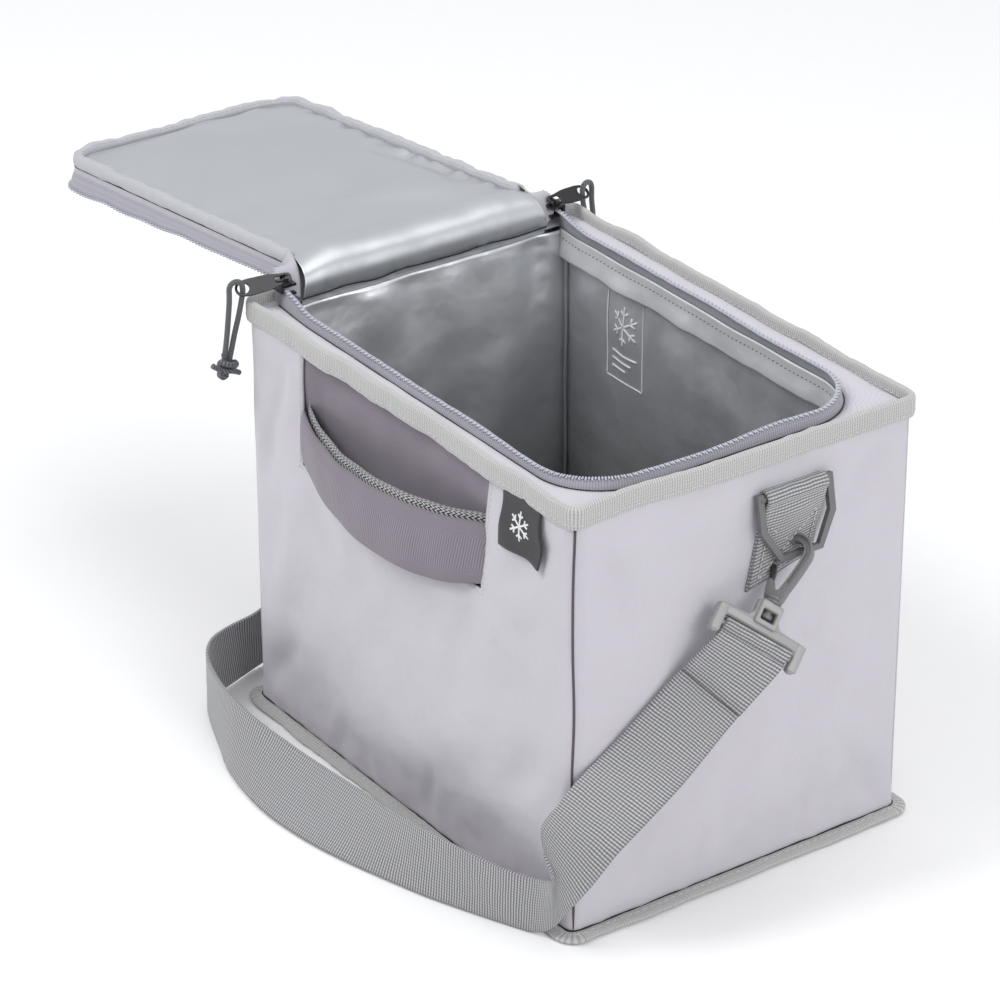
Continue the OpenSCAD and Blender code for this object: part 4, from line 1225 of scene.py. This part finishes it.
def skin_height(x, y, inset):
    """The lid's outer fabric, nearly flat."""
    flat = np.stack([x, y], -1)
    return -2.6 + 2.0 * smooth(inset / 34) ** 0.8 + 0.4 * ripple(flat, 136, 60) * smooth(inset / 20) + \
        0.3 * ripple(flat, 137, 16) * (1 - smooth(inset / 26))


# The foil runs from the back wall of the cavity up over a soft roll and out along the lid.
ROLL = [(-142.2, 248.5), (-142.6, 253.6), (-140.4, 258.8), (-140.2, 265.2), (-143.6, 271.2), (-150.6, 274.8),
        (-158.6, 275.6)]
lid_part = lid_world(lid_grid(LID_X0, LID_X1 - 3.0, LID_W - 3.0, LID_R - 3.0, 76, foil_height))
first = lid_part[0]
roll_line = spline([(x, 0, z) for x, z in ROLL] + [tuple(first.mean(0) * [1, 0, 1])], 5)[:-2]
roll_s = lengths(roll_line)
roll_out = np.cross(tangents(roll_line), [0, 1.0, 0])
y_unit = first[:, 1] / np.abs(first[:, 1]).max()
half = np.interp(np.arange(len(roll_line)), [0, 12, len(roll_line) - 1], [84, 83, LID_W - 3.0])
roll_part = np.zeros((len(roll_line), 76, 3))
for i, p in enumerate(roll_line):
    ys = y_unit * half[i]
    crease = 0.35 * ripple(np.stack([ys * 0.7, np.full(76, roll_s[i] * 0.5)], -1), 151, 40) + \
        0.5 * bump_at(roll_s[i] - 6, 6) * ripple(np.stack([ys, np.full(76, roll_s[i] * 0.2)], -1), 152, 14)
    join = smooth(i / (len(roll_line) - 1)) ** 2
    roll_part[i] = p + roll_out[i] * crease[:, None]
    roll_part[i, :, 2] += join * (first[:, 2] - first[:, 2].mean())
    roll_part[i, :, 1] = ys
pts = np.vstack([roll_part, lid_part])
shaded_lid_foil = sheet("lid_foil_face", pts, SHADED_LID_FOIL, None, "foil_lining", ["lid_lining", "lid_foam"], 0.5,
                 us=lengths(pts[:, 38]), vs=np.linspace(0, 160, 76))

pts = lid_grid(7.0, LID_X1 + 0.6, LID_W + 0.6, LID_R + 0.6, 76, skin_height)
sheet("lid_fabric_face", lid_world(pts), SHADED_LID_FABRIC, "lid", "body_fabric", ["lid_outer_skin"], 0.8,
      us=pts[:, 38, 0], vs=np.linspace(0, 162, 76))

hem_xy, hem_n = u_line(LID_X0 - 6, LID_X1, LID_W, LID_R, 2.6)
hem_out = flat3(hem_n, 0.0)
HEM = [(-5.4, -10.4), (-5.0, -12.0), (-3.4, -13.2), (-1.2, -13.5), (0.7, -12.7), (1.6, -10.8),
       (1.7, -8.6), (0.9, -7.2), (0.3, -6.6), (0.9, -5.0), (1.1, -3.2), (0.6, -1.9), (-1.0, -1.8),
       (-3.0, -4.0), (-4.4, -8.0)]
hem_wave = 0.6 * ripple(hem_xy, 141, 40) + 0.4 * ripple(hem_xy, 142, 9)
corner = np.clip(1 - np.abs(np.abs(hem_n[:, 0]) - 0.7) / 0.5, 0, 1) * (np.abs(hem_n[:, 1]) > 0.1)
hem_wave = hem_wave + corner * 1.1 * ripple(hem_xy, 143, 8)
profile = copies(HEM, hem_xy)
profile[:, 1:5, 1] -= hem_wave[:, None] * 0.7
profile[:, 3:8, 0] += 0.55 * hem_wave[:, None]
on_lid("lid_hem_fabric", swept(flat3(hem_xy, 0.0), hem_out, UP, profile), SHADED_LID_FABRIC,
       ["lid_hem"])
line = flat3(hem_xy, -12.6 - 0.7 * hem_wave) + hem_out * -4.2
on_lid("lid_hem_stitches", stitch_run(line, -UP, 2.6, 1.4, 0.3, 0.25), THREAD)
shadow = flat3(hem_xy, -6.7) + hem_out * 0.55
on_lid("lid_seam_shadow", round_tube(shadow, 0.38, 6), PAINTED_SHADE)

droop = 3.6 + 3.6 * smooth((hem_xy[:, 0] - 40) / 200) * (0.75 + 0.25 * (hem_xy[:, 1] < 0))
lid_tape = np.zeros((len(hem_xy), 10, 2))
rise = np.linspace(0, 1, 5)
for k in range(5):
    lid_tape[:, k, 0] = 0.5 + 5.4 * rise[k] - 1.6 * rise[k] ** 2
    lid_tape[:, k, 1] = -3.6 + (droop + 1.6) * rise[k] ** 1.1
    lid_tape[:, 9 - k, 0] = lid_tape[:, k, 0] - 0.6
    lid_tape[:, 9 - k, 1] = lid_tape[:, k, 1] + 0.5
tape_wave = 0.7 * ripple(hem_xy, 145, 60)
lid_tape[..., 1] += tape_wave[:, None] * np.array([0, .2, .5, .8, 1, 1, .8, .5, .2, 0])
on_lid("lid_zip_tape_woven", swept(flat3(hem_xy, 0.0), hem_out, UP, lid_tape), ZIP_TAPE,
       ["lid_zip_tape"], crease=60)
edge = flat3(hem_xy, lid_tape[:, 4, 1] + 0.6) + hem_out * (lid_tape[:, 4, 0] + 0.2)[:, None]
on_lid("lid_zip_teeth", coil_run(edge, hem_out, 0.9), COIL, ["lid_zip_coil"])
edge_world = lid_world(edge)

crease_y = np.linspace(-84, 84, 60)
line = np.stack([np.full(60, -140.9), crease_y, 255.6 + 0.5 * ripple(crease_y[:, None] * [1.0], 158, 40)], -1)
shaped("hinge_crease_shadow", round_tube(line, 0.45, 6), PAINTED_SHADE, "body")

BACK_STRIP = [(-146.4, 252.0), (-147.2, 257), (-148.4, 262), (-151.5, 265.6), (-157, 266.8), (-164, 267.2)]
back_line = spline([(x, 0, z) for x, z in BACK_STRIP], 5)
pts = np.zeros((len(back_line), 40, 3))
ys = np.linspace(-83, 83, 40)
for i, p in enumerate(back_line):
    pts[i] = p
    pts[i, :, 1] = ys
    pts[i, :, 2] += 0.4 * ripple(np.stack([ys, np.full(40, i * 1.2)], -1), 155, 28)
turning = [sheet("hinge_strip_fabric", pts, SHADED_LID_FABRIC, None, "body_fabric", ["lid_hinge_strip"], 0.8,
                 us=lengths(back_line), vs=ys)]

# At each hinge corner the zip curls up from the slider to the lid, over a small fabric gusset.
for sy, where in ((-1, "left"), (1, "right")):
    end_at = edge_world[0] if sy < 0 else edge_world[-1]
    curl = spline([(-145.5, sy * 94.2, 263.2), (-149.0, sy * 95.2, 265.4), (-152.6, sy * 94.4, 268.6),
                   (-156.0, sy * 91.4, 270.6), end_at + [2, 0, 2.4], end_at], 6)
    curl_out = unit(np.cross(tangents(curl), UP)) * -sy
    teeth = shaped("zip_curl_teeth_" + where, coil_run(curl, curl_out, 0.9), COIL, None)
    top_edge = np.linspace([-142.4, sy * 84.5, 256.0], [-162.0, sy * 78.5, 277.0], len(curl))
    top_edge[:, 2] += 3.0 * np.sin(np.linspace(0, math.pi, len(curl)))
    top_edge[:, 0] += 4.0 * np.sin(np.linspace(0, math.pi, len(curl)))
    a = np.linspace(0, 1, 10)[None, :, None]
    pts = curl[:, None] * (1 - a) + top_edge[:, None] * a
    bow = np.sin(np.pi * a[..., 0]) * (1.6 + 0.9 * ripple(np.stack([pts[..., 0], pts[..., 2]], -1), 161, 9))
    pts[..., 1] += sy * bow * 1.2
    pts[..., 2] += bow * 0.8
    gusset = sheet("hinge_gusset_" + where, pts, SHADED_LID_FABRIC, None, "body_fabric", (), 0.8,
                   us=lengths(curl), vs=a[0, :, 0] * 14)
    turning += [teeth, gusset]
for obj in turning:
    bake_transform(obj)
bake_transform(shaded_lid_foil)

# ---------------------------------------------------------------- small plates with holes
def rounded(points, r):
    """A polygon with its corners turned into small arcs."""
    p = [np.array(q, float) for q in points]
    out = []
    for i, q in enumerate(p):
        a, b = p[i - 1], p[(i + 1) % len(p)]
        ra = min(r, np.linalg.norm(a - q) * 0.48)
        rb = min(r, np.linalg.norm(b - q) * 0.48)
        start, end = q + unit(a - q) * ra, q + unit(b - q) * rb
        for t in np.linspace(0, 1, 5):
            out.append((1 - t) ** 2 * start + 2 * t * (1 - t) * q + t * t * end)
    return out


def oblong(x0, y0, x1, y1, r):
    """A rectangle with rounded corners."""
    return rounded([(x0, y0), (x1, y0), (x1, y1), (x0, y1)], r)


def mirrored(half):
    """Half an outline and its mirror image across the X axis."""
    return half + [(x, -y) for x, y in half[::-1]]


def disc(x, y, r, sides=28):
    """A round outline."""
    a = np.linspace(0, TAU, sides, endpoint=False)
    return [(x + r * math.cos(t), y + r * math.sin(t)) for t in a]


def plate_mesh(outlines, thick, edge):
    """A flat plate from its outline and holes, with softened edges, in its own plane."""
    curve = bpy.data.curves.new("plate", "CURVE")
    curve.dimensions = "2D"
    curve.fill_mode = "BOTH"
    curve.extrude = max(thick / 2 - edge, 0.01)
    curve.bevel_depth = edge
    curve.bevel_resolution = 2
    curve.offset = -edge
    for outline in outlines:
        line = curve.splines.new("POLY")
        line.points.add(len(outline) - 1)
        for point, q in zip(line.points, outline):
            point.co = (q[0], q[1], 0, 1)
        line.use_cyclic_u = True
    holder = bpy.data.objects.new("plate", curve)
    bpy.context.scene.collection.objects.link(holder)
    mesh = bpy.data.meshes.new_from_object(holder.evaluated_get(bpy.context.evaluated_depsgraph_get()))
    bpy.data.objects.remove(holder)
    bpy.data.curves.remove(curve)
    verts = np.array([q.co[:] for q in mesh.vertices])
    faces = [tuple(q.vertices) for q in mesh.polygons]
    bpy.data.meshes.remove(mesh)
    return verts, faces, None


def lathe(profile, sides=28):
    """A turned piece about the Y axis: profile holds (radius, y)."""
    a = np.linspace(0, TAU, sides, endpoint=False)
    p = np.array(profile, float)
    pts = np.stack([p[:, None, 0] * np.cos(a), np.repeat(p[:, 1:2], sides, 1), p[:, None, 0] * np.sin(a)], -1)
    faces, _ = grid(len(p), sides, wrap_v=True)
    faces += [tuple(range(sides))[::-1], tuple((len(p) - 1) * sides + k for k in range(sides))]
    return pts.reshape(-1, 3), faces, None


def many(parts):
    """Several plain parts as one set of points and faces."""
    verts, faces, _ = joined([(v, f, ()) for v, f, _ in parts])
    return verts, faces


# ---------------------------------------------------------------- pull tabs
PLATE_T, PLATE_EDGE = 1.3, 0.35
TAB_HALF = [(-4.2, -2.9), (2.0, -3.4), (10.0, -5.0), (22, -5.3), (27.4, -4.2)]
PIN_HALF = [(-2.3, -1.5), (0.6, -1.9), (5.2, -1.9)]
tab_outline = rounded(TAB_HALF + [(29.2, 0)] + mirrored(TAB_HALF)[5:], 2.4)
holes = [disc(TAB_HOLE, 0, 3.3), rounded(mirrored(PIN_HALF), 1.2)]
for side, roll_deg in (("left", -38.0), ("right", 34.0)):
    verts, faces, _ = plate_mesh([tab_outline] + holes, PLATE_T, PLATE_EDGE)
    pts = verts @ turn("X", roll_deg).T @ turn("Y", TAB_TILT).T
    piece("pull_tab_plate_" + side, at_pin(pts, side), faces, GUNMETAL, "pull_tab_" + side,
          ["pull_tab_" + side], fix=False)

# ---------------------------------------------------------------- snap hooks, gates and buckles
BAR_PROFILE = np.array([(-2.2, -2.4), (-2.05, -2.7), (-1.3, -2.7), (-1.0, -2.4), (-0.8, -1.5),
                        (0.8, -1.5), (1.0, -2.4), (1.3, -2.7), (2.05, -2.7), (2.2, -2.4),
                        (2.2, 2.4), (2.05, 2.7), (1.3, 2.7), (1.0, 2.4), (0.8, 1.5),
                        (-0.8, 1.5), (-1.0, 2.4), (-1.3, 2.7), (-2.05, 2.7), (-2.2, 2.4)])
arc = np.radians(np.linspace(0, 180, 13))
hook_points = [(1.2, -28.6, 0), (3.2, -23.5, 0), (5.2, -16.5, 0), (7.0, -8, 0), (8.0, -2, 0)]
hook_points += [(8.1 * math.cos(a), 8.1 * math.sin(a), 0) for a in arc]
hook_points += [(-8.15, -3.4, 0), (-7.9, -8.6, 0)]
hook_line = spline(hook_points, 5)
BODY_OUTLINE = rounded([(-7.0, -18.6), (-5.6, -17.6), (-3.7, -18.4), (-2.2, -22.2), (-0.2, -23.6),
                        (1.6, -22.2), (3.0, -17.5), (6.4, -18.0), (6.0, -24), (5.3, -28), (4.4, -30.4),
                        (-4.4, -30.4), (-5.2, -28), (-6.4, -23)], 1.6)
GATE_OUTLINE = rounded([(-6.7, -19.8), (-4.0, -19.6), (-4.4, -14.0), (-6.0, -9.6), (-8.4, -9.9),
                        (-8.2, -12.6)], 1.0)
FRAME_HALF = [(7.4, -31.2), (7.4, -38.5), (9.8, -42.0), (25.8, -42.6), (27.6, -44.4), (27.6, -57.4),
              (26.0, -59.4), (22.4, -59.4), (21.6, -57.0), (21.6, -48.4)]
FRAME_OUTLINE = rounded([(-7.4, -31.2)] + FRAME_HALF + [(-x, y) for x, y in FRAME_HALF[:0:-1]], 1.4)
WINDOW = oblong(-4.2, -41.6, 4.2, -35.6, 0.8)
COLLAR = [(0.2, -26.8), (4.6, -26.8), (5.1, -27.4), (5.1, -28.6), (4.5, -29.0), (4.5, -29.4), (5.1, -29.8),
          (5.1, -30.6), (4.7, -31.0), (2.6, -31.1), (2.55, -37.4), (3.5, -37.6), (3.7, -38.4),
          (3.5, -39.8), (2.8, -40.2), (0.2, -40.2)]

for end, place in (("near", near_clip), ("far", far_clip)):
    flat_up = np.tile(UP, (len(hook_line), 1))
    bend = swept(hook_line, unit(np.cross(tangents(hook_line), flat_up)), flat_up, BAR_PROFILE)
    tip = capsule(np.array([-7.9, -8.4, 0.0]), np.array([-7.8, -9.0, 0.0]), 2.0, 12)
    v, f = many([bend, tip, plate_mesh([BODY_OUTLINE], 5.0, 0.6), lathe(COLLAR)])
    piece("snap_hook_body_" + end, place(v, True), f, GREY, "snap_hook_" + end,
          ["snap_hook_" + end], crease=38)
    v, f, _ = plate_mesh([GATE_OUTLINE], 3.0, 0.5)
    piece("hook_gate_leaf_" + end, place(v, True), f, BLACK, "hook_gate_" + end,
          ["hook_gate_" + end], crease=38)
    cross_bar = round_tube(np.linspace([-23.0, BAR_Y, 0], [23.0, BAR_Y, 0], 12), 1.7, 12)
    barrel = plate_mesh([oblong(-6.6, -31.0, 6.6, -44.6, 1.2), WINDOW], 9.6, 1.1)
    arms = [plate_mesh([oblong(sx * 21.9, -43.2, sx * 27.2, -58.6, 1.2)], 6.2, 0.8) for sx in (-1, 1)]
    bar_top = plate_mesh([oblong(-26.4, -43.0, 26.4, -48.0, 1.4)], 5.4, 0.9)
    v, f = many([plate_mesh([FRAME_OUTLINE, WINDOW], 4.6, 0.9), barrel, bar_top, cross_bar] + arms)
    piece("strap_buckle_frame_" + end, place(v), f, PALE_GREY, "body",
          ["strap_buckle_" + end], crease=38)

# ---------------------------------------------------------------- ring tabs: folded webbing sewn to the panel
RING_X, RING_Z, TAB_Y = 160.0, 231.0, 27.0


def ring_tab(end):
    """The folded webbing that holds a D-ring, with its stitching."""
    sign = 1 if end == "near" else -1
    bend = np.radians(np.linspace(196, -52, 22))
    fold = [(RING_X + 3.9 * math.cos(a), RING_Z + 3.9 * math.sin(a)) for a in bend]
    path = [(156.3, 186.0), (156.2, 200.0), (156.0, 214.0), (155.9, 222.0)] + fold + \
        [(160.2, 221.5), (158.9, 216.0), (158.2, 208.0), (158.0, 198.0), (158.0, 188.0)]
    line = resample(spline([(x, 0, z) for x, z in path], 4), 1.6)
    ys = np.linspace(-20, 20, 21)
    pts = np.zeros((len(line), len(ys), 3))
    for i, p in enumerate(line):
        drop = np.clip((RING_Z - p[2]) / 45, 0, 1)
        left_low = drop * (1 - (ys + 20) / 40)
        pts[i, :, 0] = p[0] + 0.25 * ripple(np.stack([ys, ys * 0 + i * 2.0], -1), 171, 20) * drop
        pts[i, :, 1] = TAB_Y + ys - 9.5 * drop ** 1.4 - 1.0 * left_low
        pts[i, :, 2] = p[2] - 7.0 * left_low ** 1.2 + 3.0 * drop * (ys + 20) / 40
        along_end = (pts[i, :, 1] + HALF_W - SHELL_R) / (2 * (HALF_W - SHELL_R))
        pushed = panel_swell(np.full(len(ys), 2 - sign), along_end, pts[i, :, 2])
        pts[i, :, 0] += pushed * smooth((RING_Z - p[2]) / 12)
    if sign < 0:
        pts = pts @ HALF_TURN.T
    sheet("ring_tab_webbing_" + end, pts, WEBBING, "body", "webbing", ["ring_tab_" + end], 1.5,
          us=lengths(line), vs=ys)
    box = []
    low, high = pts[-3], pts[-19]
    corners = [low[2], low[-3], high[-3], high[2]]
    for a, b in ((0, 1), (1, 2), (2, 3), (3, 0), (0, 2), (1, 3)):
        run = np.linspace(corners[a], corners[b], 12)
        run[:, 0] += sign * 0.95
        box.append(stitch_run(run, np.array([sign, 0, 0.0]), 2.4, 0.9, 0.38, 0.1))
    shaped("ring_tab_stitches_" + end, joined(box), THREAD, "body")


ring_tab("near")
ring_tab("far")


def zigzag(line, way, n_at, width):
    """A row of zigzag stitching across the webbing, where its end is sewn back."""
    along = tangents(line)[n_at]
    xs = np.arange(-width / 2, width / 2 + 0.1, 1.5)
    zig = 1.2 * np.where(np.arange(len(xs)) % 2, 1, -1) + 0.4 * ripple(xs[:, None], 181, 7)
    out = unit(np.cross(way[n_at], along))
    return round_tube(line[n_at] + way[n_at] * xs[:, None] + along * zig[:, None] + out * (WEB_T / 2 + 0.25),
                      0.36, 6)


shaped("strap_sewing_near", zigzag(strap_line, strap_way, sew_at, 34), THREAD, "body")

# The slide adjuster's own turn of webbing round its middle bar
LOOP = [(-182.6, 80), (-183.6, 86), (-185.6, 90.6), (-188.6, 93.4), (-189.8, 97.3), (-188.6, 101.2),
        (-185.8, 104), (-183.4, 108.5), (-182.2, 114)]
loop_line = spline([(x, -28, z) for x, z in LOOP], 5)
half_width = np.array([0, 19.5, 0])
strip_between("strap_adjuster_turn", loop_line - half_width, loop_line + half_width)

# ---------------------------------------------------------------- CAD pieces, with soft edges
KEPT = {"d_ring_near": GREY, "d_ring_far": GREY, "strap_adjuster": GREY, "zip_slider_left": GUNMETAL,
        "zip_slider_right": GUNMETAL}
for node, material in KEPT.items():
    obj = bpy.data.objects[node]
    obj.data.materials.clear()
    obj.data.materials.append(material)
    edge = obj.modifiers.new("edge", "BEVEL")
    edge.width = 0.35 * MM
    edge.segments = 2
    edge.limit_method = "ANGLE"
    edge.angle_limit = math.radians(30)
